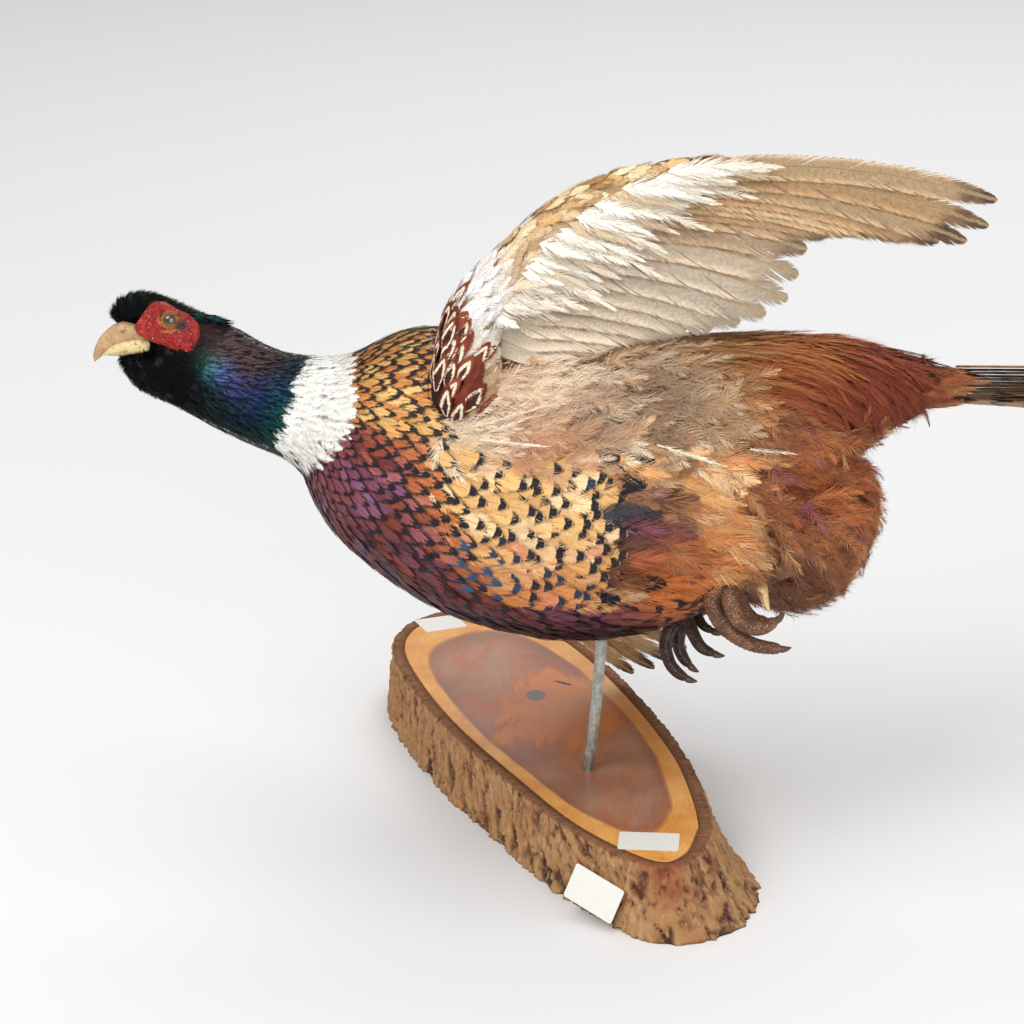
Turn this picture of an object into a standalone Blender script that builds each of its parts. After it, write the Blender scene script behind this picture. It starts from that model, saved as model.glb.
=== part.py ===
"""A mounted cock pheasant in banking flight, on a steel rod over an obliquely sawn slab of wood.

The bird is modelled in its own frame in millimetres: +X runs to the tail, +Y to its right wing, +Z up its back,
with the origin in the middle of the torso. One empty rolls it and lifts it over the slab. The slab and the rod are
in the world frame, whose origin is under the rod's foot, on the slab's underside.
"""

from math import cos, pi, radians, sin, sqrt

import bmesh
import bpy
import numpy as np

MM = 0.001
GAP = 0.35                   # between touching pieces

# The pose over the slab
ROLL = 18.0                  # degrees, left side up
TORSO_HEIGHT = 183.0         # middle of the torso over the table

# The slab and the rod
SLAB_THICK = 36.0
SLAB_TURN = 106.2            # degrees from +X to the slab's long axis
SLAB_OUTLINE = (             # bark's outer edge at the top, from the rod: along that axis and to its right
    (-123, 4), (-108, -12), (-62, -30), (6, -42), (69, -51), (128, -54), (184, -51), (218, -37), (236, -12),
    (235, 16), (212, 39), (160, 52), (90, 57), (17, 56), (-34, 50), (-86, 38), (-113, 22),
)
BARK_THICK = 6.5
BARK_SPREAD = 2.5            # how much further out the bark stands at its foot
BARK_FLARE = 22.0            # of the root spur at the near right, at the foot
FLARE_AT = (-88.0, 40.0)     # on the same axes
FLARE_SPREAD = 70.0
FLARE_SIDE = (-18.0, 18.0)   # to the right of the axis, where the flare begins and is full
BARK_RIDGES = 23
BARK_RIDGE_HEIGHT = 1.3
SLAB_POINTS = 72
ROD_RADIUS = 2.75
ROD_SOCKET = 14.0            # depth of its hole in the wood
ROD_LEAN = (9.3, 1.0)        # top against foot, in X and Y
ROD_TOP = 130.0
ROD_BOW = 1.5

# Outlines of the plumage: (top x, top z, bottom x, bottom z, half width), from the rump's end to the head
BODY_RINGS = (
    (168, 63.5, 163, 39, 15), (150, 68.5, 140, 27, 22), (126, 75, 120, 6, 33), (100, 77, 98, -24, 44),
    (70, 77, 70, -52, 53), (35, 76.5, 33, -68, 58), (0, 75.5, -4, -73, 60.5), (-32, 76, -38, -69, 60.5),
    (-58, 79, -70, -59, 58), (-80, 81.5, -97, -43, 53), (-96, 77, -119, -25, 46.5), (-107, 71, -131, -9, 40),
    (-117, 67, -138, 8, 34), (-131, 66.5, -149, 17, 28), (-146, 68, -163, 22.5, 24.5), (-158, 73, -179, 30, 21.5),
    (-168, 79, -192, 37, 19.5),
)
RUMP_ENDS, TORSO_ENDS, RING_ENDS = 3, 12, 13     # as places in that list
HEAD_RINGS = (
    (-168, 79, -192, 37, 19.5), (-180, 85.5, -202, 42, 18.8), (-191, 90, -211, 46, 18), (-203, 94.5, -218, 49.5, 16.6),
    (-213, 97.5, -223, 55, 13.8), (-221, 97, -225.5, 60, 10.8), (-227.5, 93, -228, 66, 7.4), (-230.7, 87, -229.5, 73, 3.6),
)
VENT_RINGS = (
    (72, -22, 74, -50, 24), (90, 0, 90, -54, 33), (108, 12, 107, -57, 37), (123, 18, 121, -49, 35),
    (134, 14, 131, -36, 28), (140.5, 4, 139.5, -20, 15),
)
BODY_SIDES = 24
BODY_FULLNESS = 2.2          # exponent of the section, 2 for an ellipse

# Head
BILL_UPPER_RINGS = (
    (-216, 82, -213, 72.3, 6.9), (-224, 83, -219.5, 72.4, 6.6), (-229, 81.8, -225, 71.4, 5.7),
    (-233.5, 78.6, -229.5, 70, 4.5), (-237, 74.6, -233.4, 68.2, 3.2), (-239, 70.3, -236, 65.8, 2.0),
    (-239.9, 66.5, -238, 64.2, 1.0), (-239.5, 63.6, -238.9, 63.2, 0.4),
)
BILL_LOWER_RINGS = (
    (-213, 72.2, -213, 66.2, 6.3), (-220, 72.3, -221, 65.6, 5.6), (-226, 71.2, -227.5, 65.9, 4.3),
    (-231.5, 69.2, -232.5, 66.2, 2.9), (-235.4, 67.4, -235.8, 66.4, 1.1),
)
NOSTRIL = (-227.0, 4.6, 77.5)
NOSTRIL_RADII = (2.2, 1.3, 0.9)
OPERCULUM_RISE = 2.6         # of the swelling over the nostril
EYE_CENTRE = (-201.3, 11.6, 83.2)
EYE_RADIUS = 5.4
LID_RADIUS, LID_THICK = 5.4, 1.1
LID_STAND = 3.4              # of the lids' middle outside the eye's
WATTLE_THICK = 1.7
WATTLE_OUTLINE = (
    (-219, 79.5), (-214, 87), (-210.5, 91.3), (-205, 92.3), (-197, 88), (-191, 85), (-187, 79.5), (-187.5, 72),
    (-190.5, 66.8), (-199, 67.5), (-207, 71.5), (-216, 75.5),
)
TUFT_PATH = ((-192, 10.5, 85), (-183, 10.8, 84.5), (-175, 10.4, 83.8), (-167, 9.6, 82.2))
TUFT_RADII = (2.0, 2.5, 2.1, 0.5)

# Legs, tucked up with the toes curled down and back
LEFT_SHANK = ((97, -31, -36), (90, -31, -39), (83, -30, -42), (74, -28, -45))
SHANK_RADII = (5.0, 4.2, 4.0, 4.4)
LEFT_PALM = (69, -28, -47)
PALM_RADII = (8.0, 7.5, 5.0)
LEFT_TOES = (
    ((66, -27, -43), (60, -27.5, -50), (63.5, -27, -61), (71, -26, -68.6), (81, -25, -73.5), (93, -24, -75.5)),
    ((70, -31, -44), (69, -33, -53), (72.3, -33.5, -60.5), (78, -33, -64.3), (84, -32.5, -64.7), (90.5, -32, -61.5)),
    ((73, -23, -44), (74, -20, -54), (80, -18, -61.5), (87, -17, -62.5)),
    ((76, -26, -42), (82, -23, -50), (89, -21, -52)),
)
LEFT_SPUR = ((82.5, -31, -43), (84.5, -31.8, -50), (87, -32.2, -56))
RIGHT_SHANK = ((84, 30, -42), (72, 28, -49), (61, 25, -56), (52, 23, -60))
RIGHT_PALM = (48, 22, -63)
RIGHT_TOES = (
    ((45, 22, -62), (39.8, 21, -74), (41.5, 20, -84), (45.6, 20, -89.4), (50, 20, -92.3)),
    ((48, 26, -62), (46.4, 28, -75), (48.5, 28, -82), (52, 28, -86.5)),
    ((49, 18, -60), (53, 14, -70), (57, 12, -76.5), (63, 12, -79.7)),
    ((54, 24, -59), (58, 20, -66), (63, 19, -69)),
)
RIGHT_SPUR = ((64, 26, -54), (68, 23, -58), (73, 21, -61))
TOE_RADIUS, HALLUX_RADIUS = 3.1, 2.3
SPUR_RADII = (3.0, 2.1, 0.5)
CLAW_LENGTH, CLAW_CURL = 6.5, 1.6
LEFT_THIGH = ((36, -20, 8), (56, -32, -14), (73, -36, -30), (84, -33, -38))
RIGHT_THIGH = ((34, 20, 2), (52, 32, -20), (67, 33, -36), (77, 31, -44))
THIGH_RADII = (12, 18, 14, 7.5)

# Tail
TAIL_ROOT_RINGS = (
    (168.35, 63.5, 163.35, 39, 16.5), (176, 63.2, 172, 39.8, 15.8), (185, 62, 182, 42, 13.5), (192, 60, 190, 45, 9.5),
)
TAIL_TIP = 603.0             # along X
TAIL_TOP = 60.5              # height of the middle pair
TAIL_FEATHERS = 12
TAIL_SHORTEST = 150.0        # visible length of the outer pair
TAIL_WIDTH = 19.0            # half width of a middle feather
TAIL_STEP = 1.5              # down from one feather to the next
TAIL_ARCH = 40.0             # radius of the roof that the folded tail makes
TAIL_DROOP = 14.0            # at the tip

# Feathers of the wings
VANE_THICK = 0.7
VANE_CLEAR = 0.5             # between one vane and the next over it
FEATHERED = True             # false gives each wing part and the tail one smooth form out to its tips

SIDES = (("left", -1), ("right", 1))

MATERIALS = {
    "plumage_dark": ((0.02, 0.03, 0.035), 0.45, 0.0),
    "ring_white": ((0.85, 0.84, 0.80), 0.7, 0.0),
    "plumage_gold": ((0.55, 0.27, 0.09), 0.55, 0.0),
    "plumage_rust": ((0.32, 0.10, 0.04), 0.6, 0.0),
    "plumage_fluff": ((0.33, 0.22, 0.13), 0.8, 0.0),
    "wing_buff": ((0.56, 0.44, 0.30), 0.65, 0.0),
    "tail_barred": ((0.26, 0.17, 0.09), 0.6, 0.0),
    "wattle_red": ((0.55, 0.03, 0.02), 0.6, 0.0),
    "bill_horn": ((0.60, 0.47, 0.30), 0.4, 0.0),
    "eye_glass": ((0.30, 0.12, 0.02), 0.1, 0.0),
    "leg_scale": ((0.16, 0.10, 0.06), 0.5, 0.0),
    "claw_horn": ((0.10, 0.07, 0.05), 0.35, 0.0),
    "spur_cream": ((0.70, 0.58, 0.36), 0.4, 0.0),
    "slab_wood": ((0.42, 0.20, 0.08), 0.3, 0.0),
    "slab_bark": ((0.22, 0.13, 0.07), 0.85, 0.0),
    "rod_steel": ((0.50, 0.52, 0.50), 0.4, 0.9),
}


def clear_scene():
    for old in list(bpy.data.objects):
        bpy.data.objects.remove(old, do_unlink=True)


def make_materials():
    made = {}
    for name, (colour, roughness, metallic) in MATERIALS.items():
        material = bpy.data.materials.new(name)
        material.use_nodes = True
        shader = material.node_tree.nodes["Principled BSDF"]
        shader.inputs["Base Color"].default_value = (*colour, 1.0)
        shader.inputs["Roughness"].default_value = roughness
        shader.inputs["Metallic"].default_value = metallic
        made[name] = material
    return made


def smooth_curve(points, places):
    """Points on the smooth curve through these rows, at these places in the list, whole or part."""
    points = np.asarray(points, float)
    padded = np.vstack([2 * points[0] - points[1], points, 2 * points[-1] - points[-2]])
    found = []
    for t in places:
        k = min(int(t), len(points) - 2)
        u = t - k
        a, b, c, d = padded[k:k + 4]
        found.append(0.5 * (2 * b + (c - a) * u + (2 * a - 5 * b + 4 * c - d) * u * u
                            + (3 * b - a - 3 * c + d) * u ** 3))
    return np.array(found)


def spread(points, count):
    """count points on the smooth curve through these rows, evenly along it."""
    fine = smooth_curve(points, np.linspace(0, len(points) - 1, 60 * len(points)))
    along = np.concatenate([[0], np.cumsum(np.linalg.norm(np.diff(fine, axis=0), axis=1))])
    wanted = np.linspace(0, along[-1], count)
    return np.stack([np.interp(wanted, along, column) for column in fine.T], 1)


class Shop:
    """Makes the objects and fits them together.

    Each solid also has a shell, its own form grown by the gap, and a joined body has the shells of its pieces. A
    neighbour is cut clear with them.
    """

    def __init__(self):
        self.materials = make_materials()
        self.shells = {}
        self.bird = bpy.data.objects.new("bird_pose", None)
        self.bird.location = (0.0, 0.0, TORSO_HEIGHT * MM)
        self.bird.rotation_euler = (radians(-ROLL), 0.0, 0.0)
        bpy.context.scene.collection.objects.link(self.bird)
        bpy.context.view_layer.update()

    def solid(self, name, points, faces, material, on_bird=True):
        mesh = bpy.data.meshes.new(name)
        mesh.from_pydata([tuple(float(v) * MM for v in p) for p in points], [], [tuple(f) for f in faces])
        edit = bmesh.new()
        edit.from_mesh(mesh)
        bmesh.ops.recalc_face_normals(edit, faces=edit.faces)
        if edit.calc_volume(signed=True) < 0:
            bmesh.ops.reverse_faces(edit, faces=edit.faces)
        edit.to_mesh(mesh)
        edit.free()
        mesh.materials.append(self.materials[material])
        made = self.placed(name, mesh, self.bird if on_bird else None)
        self.shells[name] = [(grown_mesh(mesh, GAP), made.parent)]
        return made

    def placed(self, name, mesh, parent):
        made = bpy.data.objects.new(name, mesh)
        bpy.context.scene.collection.objects.link(made)
        made.parent = parent
        return made

    def boolean(self, obj, pieces, operation):
        """Joins or cuts obj with all these objects at once and uses them up."""
        group = bpy.data.collections.new(obj.name + "_pieces")
        bpy.context.scene.collection.children.link(group)
        for piece in pieces:
            for old in list(piece.users_collection):
                old.objects.unlink(piece)
            group.objects.link(piece)
        modifier = obj.modifiers.new("Boolean", "BOOLEAN")
        modifier.operation, modifier.solver = operation, "EXACT"
        modifier.operand_type, modifier.collection = "COLLECTION", group
        bpy.context.view_layer.update()
        graph = bpy.context.evaluated_depsgraph_get()
        mesh = bpy.data.meshes.new_from_object(obj.evaluated_get(graph))
        obj.modifiers.clear()
        obj.data = mesh
        for piece in pieces:
            bpy.data.objects.remove(piece, do_unlink=True)
        bpy.data.collections.remove(group)
        keep_largest(obj)
        return obj

    def join(self, obj, pieces):
        """One closed body from obj and the pieces that are sunk into it."""
        for piece in pieces:
            self.shells[obj.name] += self.shells.pop(piece.name)
        return self.boolean(obj, pieces, "UNION")

    def clear(self, obj, *others):
        """Cuts obj back by the gap from each of these neighbours."""
        cutters = []
        for other in others:
            for mesh, parent in self.shells[other.name]:
                cutters.append(self.placed(other.name + "_shell", mesh.copy(), parent))
        return self.boolean(obj, cutters, "DIFFERENCE")


def grown_mesh(mesh, by):
    """A copy whose surface stands out by this many millimetres."""
    copy = mesh.copy()
    normals = [v.normal.copy() for v in copy.vertices]
    for vertex, normal in zip(copy.vertices, normals):
        vertex.co += normal * by * MM
    return copy


def keep_largest(obj):
    """Leaves only the closed surface with the most volume."""
    edit = bmesh.new()
    edit.from_mesh(obj.data)
    left, islands = set(edit.faces), []
    while left:
        island, queue = set(), [left.pop()]
        while queue:
            face = queue.pop()
            island.add(face)
            for edge in face.edges:
                for other in edge.link_faces:
                    if other in left:
                        left.remove(other)
                        queue.append(other)
        islands.append(island)

    def volume(island):
        total = 0.0
        for face in island:
            corners = [v.co for v in face.verts]
            for b, c in zip(corners[1:], corners[2:]):
                total += corners[0].dot(b.cross(c))
        return total

    islands.sort(key=volume)
    loose = [face for island in islands[:-1] for face in island]
    bmesh.ops.delete(edit, geom=loose, context="FACES")
    bmesh.ops.delete(edit, geom=[v for v in edit.verts if not v.link_faces], context="VERTS")
    edit.to_mesh(obj.data)
    edit.free()


def loft(rings):
    """Points and faces of the closed body through these rings, with fans of triangles on its two ends."""
    sides = len(rings[0])
    points = [p for ring in rings for p in ring]
    faces = []
    for k in range(len(rings) - 1):
        for i in range(sides):
            a, b = k * sides + i, k * sides + (i + 1) % sides
            faces.append((a, b, b + sides, a + sides))
    for ring, first in ((rings[0], 0), (rings[-1], (len(rings) - 1) * sides)):
        middle = len(points)
        points.append(np.mean(ring, axis=0))
        faces += [(first + i, first + (i + 1) % sides, middle) for i in range(sides)]
    return points, faces


def oval_ring(centre, up, side, sides, fullness=2.0):
    """A ring round centre; up and side are its half axes."""
    centre, up, side = (np.asarray(v, float) for v in (centre, up, side))
    found = []
    for i in range(sides):
        c, s = cos(2 * pi * i / sides), sin(2 * pi * i / sides)
        found.append(centre + up * np.sign(c) * abs(c) ** (2 / fullness)
                     + side * np.sign(s) * abs(s) ** (2 / fullness))
    return found


def profile_rings(rows, places, sides=BODY_SIDES, fullness=BODY_FULLNESS):
    """Rings that span from a top point to a bottom point in the bird's middle plane."""
    rings = []
    for top_x, top_z, low_x, low_z, half_width in smooth_curve(rows, places):
        top, low = np.array([top_x, 0, top_z]), np.array([low_x, 0, low_z])
        rings.append(oval_ring((top + low) / 2, (top - low) / 2, (0, half_width, 0), sides, fullness))
    return rings


def profile_solid(shop, name, rows, material, count, sides=BODY_SIDES, first=0, last=None, trim=(0, 0)):
    """The body through rows first to last; trim draws each end ring back along X by this much."""
    last = len(rows) - 1 if last is None else last
    rings = profile_rings(rows, np.linspace(first, last, count), sides)
    for k, back in ((0, trim[0]), (-1, trim[1])):
        rings[k] = [p + np.array([back, 0, 0]) for p in rings[k]]
    return shop.solid(name, *loft(rings), material)


def limb(shop, name, path, radii, material, sides=9, count=8, squash=1.0):
    """A round limb along a path, with a radius for each of its points; squash flattens it."""
    length = len(path) - 1
    radii = np.interp(np.linspace(0, 1, length + 1), np.linspace(0, 1, len(radii)), radii)
    rows = smooth_curve([(*p, r) for p, r in zip(path, radii)], np.linspace(0, length, count))
    rings, side = [], None
    for k, row in enumerate(rows):
        ahead = rows[min(k + 1, count - 1), :3] - rows[max(k - 1, 0), :3]
        ahead = ahead / np.linalg.norm(ahead)
        if side is None:
            side = np.cross(ahead, (0, 0, 1.0) if abs(ahead[2]) < 0.8 else (0, 1.0, 0))
        side = side - ahead * side.dot(ahead)
        side = side / np.linalg.norm(side)
        up = np.cross(side, ahead)
        rings.append(oval_ring(row[:3], up * row[3] * squash, side * row[3], sides))
    return shop.solid(name, *loft(rings), material)


def ball(shop, name, centre, radii, material, sides=12, rings=8, axis="Y"):
    """An egg whose rings stack along the given axis."""
    order = {"X": (0, 1, 2), "Y": (1, 2, 0), "Z": (2, 0, 1)}[axis]
    made = []
    for k in range(1, rings):
        angle = pi * k / rings
        ring = []
        for i in range(sides):
            point = np.array(centre, float)
            offsets = (-cos(angle), sin(angle) * cos(2 * pi * i / sides), sin(angle) * sin(2 * pi * i / sides))
            for place, offset in zip(order, offsets):
                point[place] += offset * radii[place]
            ring.append(point)
        made.append(ring)
    points, faces = loft(made)
    for end, sign in ((-2, -1), (-1, 1)):
        points[end][order[0]] = centre[order[0]] + sign * radii[order[0]]
    return shop.solid(name, points, faces, material)


def hoop(shop, name, centre, radius, thick, material, sides=12, round_=4):
    """A ring of round section that stands square to Y."""
    points, faces = [], []
    for i in range(sides):
        a = 2 * pi * i / sides
        for j in range(round_):
            b = 2 * pi * j / round_
            reach = radius + thick * cos(b)
            points.append(np.array(centre) + np.array([cos(a) * reach, sin(b) * thick, sin(a) * reach]))
    for i in range(sides):
        for j in range(round_):
            a, b = i * round_ + j, i * round_ + (j + 1) % round_
            c, d = (a + round_) % len(points), (b + round_) % len(points)
            faces.append((a, b, d, c))
    return shop.solid(name, points, faces, material)


def mirrored(points):
    return [(x, -y, z) for x, y, z in points]


def vane_solid(shop, name, rows, material, thick=VANE_THICK):
    """A thin blade from rows of (front edge, quill, back edge, thickness direction), split alike on both faces."""
    upper, lower = [], []
    for front, quill, back, normal in rows:
        half = np.asarray(normal) * thick / 2
        upper.append([front + half, quill + half, back + half])
        lower.append([front - half, quill - half, back - half])
    count = len(rows)
    points = [p for row in upper for p in row] + [p for row in lower for p in row]
    below = 3 * count
    faces = []
    for k in range(count - 1):
        for j in range(2):
            a, b = 3 * k + j, 3 * k + j + 1
            c, d = a + 3, b + 3
            faces += [(a, b, d), (a, d, c), (below + a, below + d, below + b), (below + a, below + c, below + d)]
        for j in (0, 2):
            a, c = 3 * k + j, 3 * k + j + 3
            faces += [(a, c, below + c), (a, below + c, below + a)]
    for k in (0, count - 1):
        for j in range(2):
            a, b = 3 * k + j, 3 * k + j + 1
            faces += [(a, below + b, b), (a, below + a, below + b)]
    return shop.solid(name, points, faces, material)


class Fan:
    """A tier of overlapping feathers in a plane of their own, from roots on a path to tips on another.

    Across the tier each feather lies over the next by the same clear distance, because a feather's height over
    the plane is its distance in feathers from the point, times that step. front and back are its half widths, for
    the first feather and the last, and lift is the tier's height at the roots and at the tips.
    """

    def __init__(self, roots, tips, count, bow, front, back, lift=(0.0, 0.0), shares=(0, 0.2, 0.52, 0.86, 1)):
        self.count, self.steps, self.lift, self.shares = count, len(shares), lift, shares
        root, tip = spread(roots, count), spread(tips, count)
        ahead = tip - root
        out = np.stack([-ahead[:, 1], ahead[:, 0]], 1)
        self.quill = np.array([root + ahead * s + out * (4 * bow * s * (1 - s)) for s in self.shares])
        self.half = [self.outline(s) for s in self.shares]
        self.front, self.back = front, back
        between = np.linalg.norm(np.diff(self.quill, axis=1), axis=2)
        self.place = np.concatenate([np.zeros((self.steps, 1)), np.cumsum(between, axis=1)], 1)

    @staticmethod
    def outline(s):
        """Share of the half width along a feather, which opens fast from the quill and ends round."""
        return min(1.0, 0.45 + 2.2 * s, 0.38 + sqrt(max(0.0, 1 - s)) * 1.35)

    def height(self, k, j, across):
        """Over the plane, of feather j's point this far across towards the next feather, at station k."""
        place = self.place[k]
        at = place[j] + across
        index = np.interp(at, place, np.arange(self.count))
        if at < place[0]:
            index = (at - place[0]) / max(place[1] - place[0], 1.0)
        if at > place[-1]:
            index = self.count - 1 + (at - place[-1]) / max(place[-1] - place[-2], 1.0)
        return (VANE_THICK + VANE_CLEAR) * (index - j) + np.interp(self.shares[k], (0, 1), self.lift)

    def feather(self, j, to_space):
        """Rows of points for feather j; to_space takes (along, out, height) of the plane to the bird's frame."""
        front = np.interp(j, (0, self.count - 1), self.front)
        back = np.interp(j, (0, self.count - 1), self.back)
        rows = []
        for k in range(self.steps):
            here = self.quill[k][j]
            ahead = self.quill[min(k + 1, self.steps - 1)][j] - self.quill[max(k - 1, 0)][j]
            ahead = ahead / np.linalg.norm(ahead)
            out = np.array([-ahead[1], ahead[0]])
            edges = []
            for across in (-front * self.half[k], 0.0, back * self.half[k]):
                flat = here - out * across
                edges.append(to_space(flat[0], flat[1], self.height(k, j, across)))
            normal = to_space(here[0], here[1], 1.0) - to_space(here[0], here[1], 0.0)
            rows.append((*edges, normal / np.linalg.norm(normal)))
        return rows

    def sheet(self, first, last, to_space):
        """Rows of one smooth blade over the feathers first to last."""
        middle = (first + last) // 2
        rows = []
        for k in range(self.steps):
            level = np.interp(self.shares[k], (0, 1), self.lift)
            edges = [to_space(*self.quill[k][j], level) for j in (first, middle, last)]
            here = self.quill[k][middle]
            normal = to_space(here[0], here[1], 1.0) - to_space(here[0], here[1], 0.0)
            rows.append((*edges, normal / np.linalg.norm(normal)))
        return rows


class Wing:
    """One wing in its own plane: along runs back from the shoulder, out runs from the shoulder to the tip.

    arm is the path of the fleshy band behind the leading edge, as (along, out, half width, half thickness), and
    splits are the shares of its length where the wing folds. camber bends the tips to the underside.
    """

    PARTS = ("shoulder", "forearm", "hand")
    COVERT_SHARES = (0, 0.4, 0.8, 1)

    def __init__(self, side, shoulder, back_axis, out_axis, camber, arm, splits):
        self.side, self.camber = side, camber
        self.shoulder = np.array(shoulder, float)
        self.back_axis = np.array(back_axis, float) / np.linalg.norm(back_axis)
        out = np.array(out_axis, float)
        out = out - self.back_axis * out.dot(self.back_axis)
        self.out_axis = out / np.linalg.norm(out)
        under = np.cross(self.back_axis, self.out_axis)
        self.under = under if side == "left" else -under
        self.arm = spread(arm, 160)
        self.splits = (0.0, *splits, 1.0)

    def to_space(self, along, out, height):
        hollow = self.camber * ((along / 100.0) ** 2 + 0.35 * (out / 100.0) ** 2)
        return (self.shoulder + self.back_axis * along + self.out_axis * out
                + self.under * (height + hollow))

    def band(self, shop, name, part, material, rings=6, sides=12):
        """The stretch of the band in one part, drawn back by half the gap at each fold."""
        flat = self.arm[:, :2]
        length = np.concatenate([[0], np.cumsum(np.linalg.norm(np.diff(flat, axis=0), axis=1))])
        start = self.splits[part] * length[-1] + GAP / 2
        end = self.splits[part + 1] * length[-1] - GAP / 2
        made = []
        for at in np.linspace(start, end, rings):
            x, y, half_width, half_thick = (np.interp(at, length, column) for column in self.arm.T)
            ahead = np.array([np.interp(at + 1, length, c) - np.interp(at - 1, length, c) for c in flat.T])
            ahead = ahead / np.linalg.norm(ahead)
            ring = []
            for i in range(sides):
                angle = 2 * pi * i / sides
                across = cos(angle) * half_width
                ring.append(self.to_space(x - ahead[1] * across, y + ahead[0] * across, sin(angle) * half_thick))
            made.append(ring)
        return shop.solid(name, *loft(made), material)

    def nodes(self, shop, fans, material="wing_buff"):
        """One node for each part. fans holds pairs of a fan and the feathers that start its second and third part.

        A fan's first feathers grow from the hand, the next from the forearm and the last from the shoulder.
        """
        made = {}
        for part, label in enumerate(self.PARTS):
            name = f"wing_{self.side}_{label}"
            body = self.band(shop, name, part, material)
            pieces = []
            for which, (fan, (forearm, shoulder)) in enumerate(fans):
                first, last = ((shoulder, fan.count), (forearm, shoulder), (0, forearm))[part]
                if FEATHERED:
                    for j in range(first, last):
                        rows = fan.feather(j, self.to_space)
                        pieces.append(vane_solid(shop, f"{name}_vane_{which}_{j}", rows, material))
                elif which == 0 and last > first:
                    rows = fan.sheet(first, last - 1, self.to_space)
                    pieces.append(vane_solid(shop, f"{name}_blade", rows, material, 3 * VANE_THICK))
            made[name] = shop.join(body, pieces) if pieces else body
        shoulder, forearm, hand = (made[f"wing_{self.side}_{label}"] for label in self.PARTS)
        shop.clear(forearm, hand)
        shop.clear(shoulder, forearm, hand)
        return made


def left_wing(shop):
    """Raised straight up with the hand swept back, its underside to the viewer."""
    arm = (
        (2, -12, 20, 15), (4, 12, 18, 14), (6, 34, 15.5, 12), (12, 50, 14, 10), (25, 64, 13, 9), (42, 82, 11.5, 7.5),
        (55, 93, 10.5, 7), (72, 103, 8.5, 6.2), (95, 111, 6.5, 5.4), (124, 117, 4, 4.6),
    )
    wing = Wing("left", (-62, -47, 41), (1.0, 0.2, 0.0), (0.0, 0.08, 1.0), 5.0, arm, (0.34, 0.65))
    roots = ((116, 114), (98, 109), (80, 104), (62, 95), (48, 85), (34, 71), (22, 58), (14, 44), (8, 28))
    tips = (
        (259, 97), (255, 85), (247, 78), (226, 78), (204, 82), (184, 83), (171, 77), (166, 66), (163, 55),
        (152, 45), (132, 39), (104, 36), (72, 34),
    )
    flight = Fan(roots, tips, 18, 0.055, (7.0, 10.0), (15.5, 17.0))
    cover_roots = ((112, 113), (90, 107), (66, 96), (46, 83), (28, 63), (16, 46))
    cover_tips = ((170, 113), (152, 101), (128, 88), (108, 74), (90, 58), (70, 47), (46, 40))
    under = Fan(cover_roots, cover_tips, 8, 0.03, (7.5, 9.0), (9.5, 12.0), lift=(3.2, 6.5),
                shares=Wing.COVERT_SHARES)
    over = Fan(cover_roots, cover_tips, 8, 0.03, (7.5, 9.0), (9.5, 12.0), lift=(-3.2, -6.5),
               shares=Wing.COVERT_SHARES)
    return wing.nodes(shop, ((flight, (8, 15)), (under, (3, 6)), (over, (3, 6))))


def right_wing(shop):
    """Half open and lowered on the far side, so that two of its tips show under the belly."""
    arm = (
        (12, -16, 20, 15), (8, 6, 20, 13), (2, 26, 18, 11.5), (-2, 46, 15, 9.5), (0, 62, 11, 7.5), (6, 80, 7.5, 5.5),
        (16, 98, 4.5, 4.6),
    )
    down = radians(49.5)
    wing = Wing("right", (-62, 47, 36), (1.0, 0.0, 0.0), (0.0, cos(down), -sin(down)), 3.0, arm, (0.34, 0.6))
    roots = ((14, 92), (8, 80), (4, 68), (4, 56), (10, 47), (18, 41), (28, 36), (40, 32), (52, 29))
    tips = (
        (90, 172), (113, 161), (125, 132), (134, 117), (142, 105), (149, 94), (153, 84), (152, 73), (147, 62),
        (139, 52), (128, 44), (114, 38), (96, 34),
    )
    flight = Fan(roots, tips, 18, 0.03, (5.5, 8.0), (13.0, 14.0))
    cover_roots = ((13, 90), (6, 76), (3, 62), (5, 48), (14, 38), (28, 32))
    cover_tips = ((44, 124), (62, 112), (74, 95), (80, 80), (81, 66), (76, 54), (66, 44))
    under = Fan(cover_roots, cover_tips, 8, 0.02, (6.0, 7.0), (8.0, 8.5), lift=(3.2, 6.5),
                shares=Wing.COVERT_SHARES)
    over = Fan(cover_roots, cover_tips, 8, 0.02, (6.0, 7.0), (8.0, 8.5), lift=(-3.2, -6.5),
               shares=Wing.COVERT_SHARES)
    return wing.nodes(shop, ((flight, (8, 14)), (under, (4, 7)), (over, (4, 7))))


def tail_vane(shop, k):
    """Feather k of the stack, the middle pair longest and on top and the others to its left and right in turn."""
    side = 1 if k % 2 else -1
    share = (k // 2) / (TAIL_FEATHERS / 2 - 1)
    root = TAIL_ROOT_RINGS[1][0] + 4.0
    longest = TAIL_TIP - root
    length = longest + (TAIL_SHORTEST - longest) * share ** 0.8
    half = TAIL_WIDTH * (1.0 - 0.30 * share)
    rows = []
    for s in np.linspace(0, 1, 6):
        x = root + length * s
        y = side * (1.0 + 4.5 * share + (0.008 + 0.07 * share) * (x - root))
        point = max(0.0, s - 0.2) / 0.8
        wide = max(half * min(1.0, 0.34 + 2.4 * s) * (1.0 - 0.93 * point * (0.30 + 0.70 * point)), 1.3)
        edges = []
        for across in (-wide, 0.0, wide):
            droop = TAIL_DROOP * ((x - root) / longest) ** 2 + (y + across) ** 2 / (2 * TAIL_ARCH)
            edges.append(np.array([x, y + across, TAIL_TOP - TAIL_STEP * k - droop]))
        rows.append((*edges, np.array([0, 0, 1.0])))
    return vane_solid(shop, f"tail_vane_{k}", rows, "tail_barred")


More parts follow.
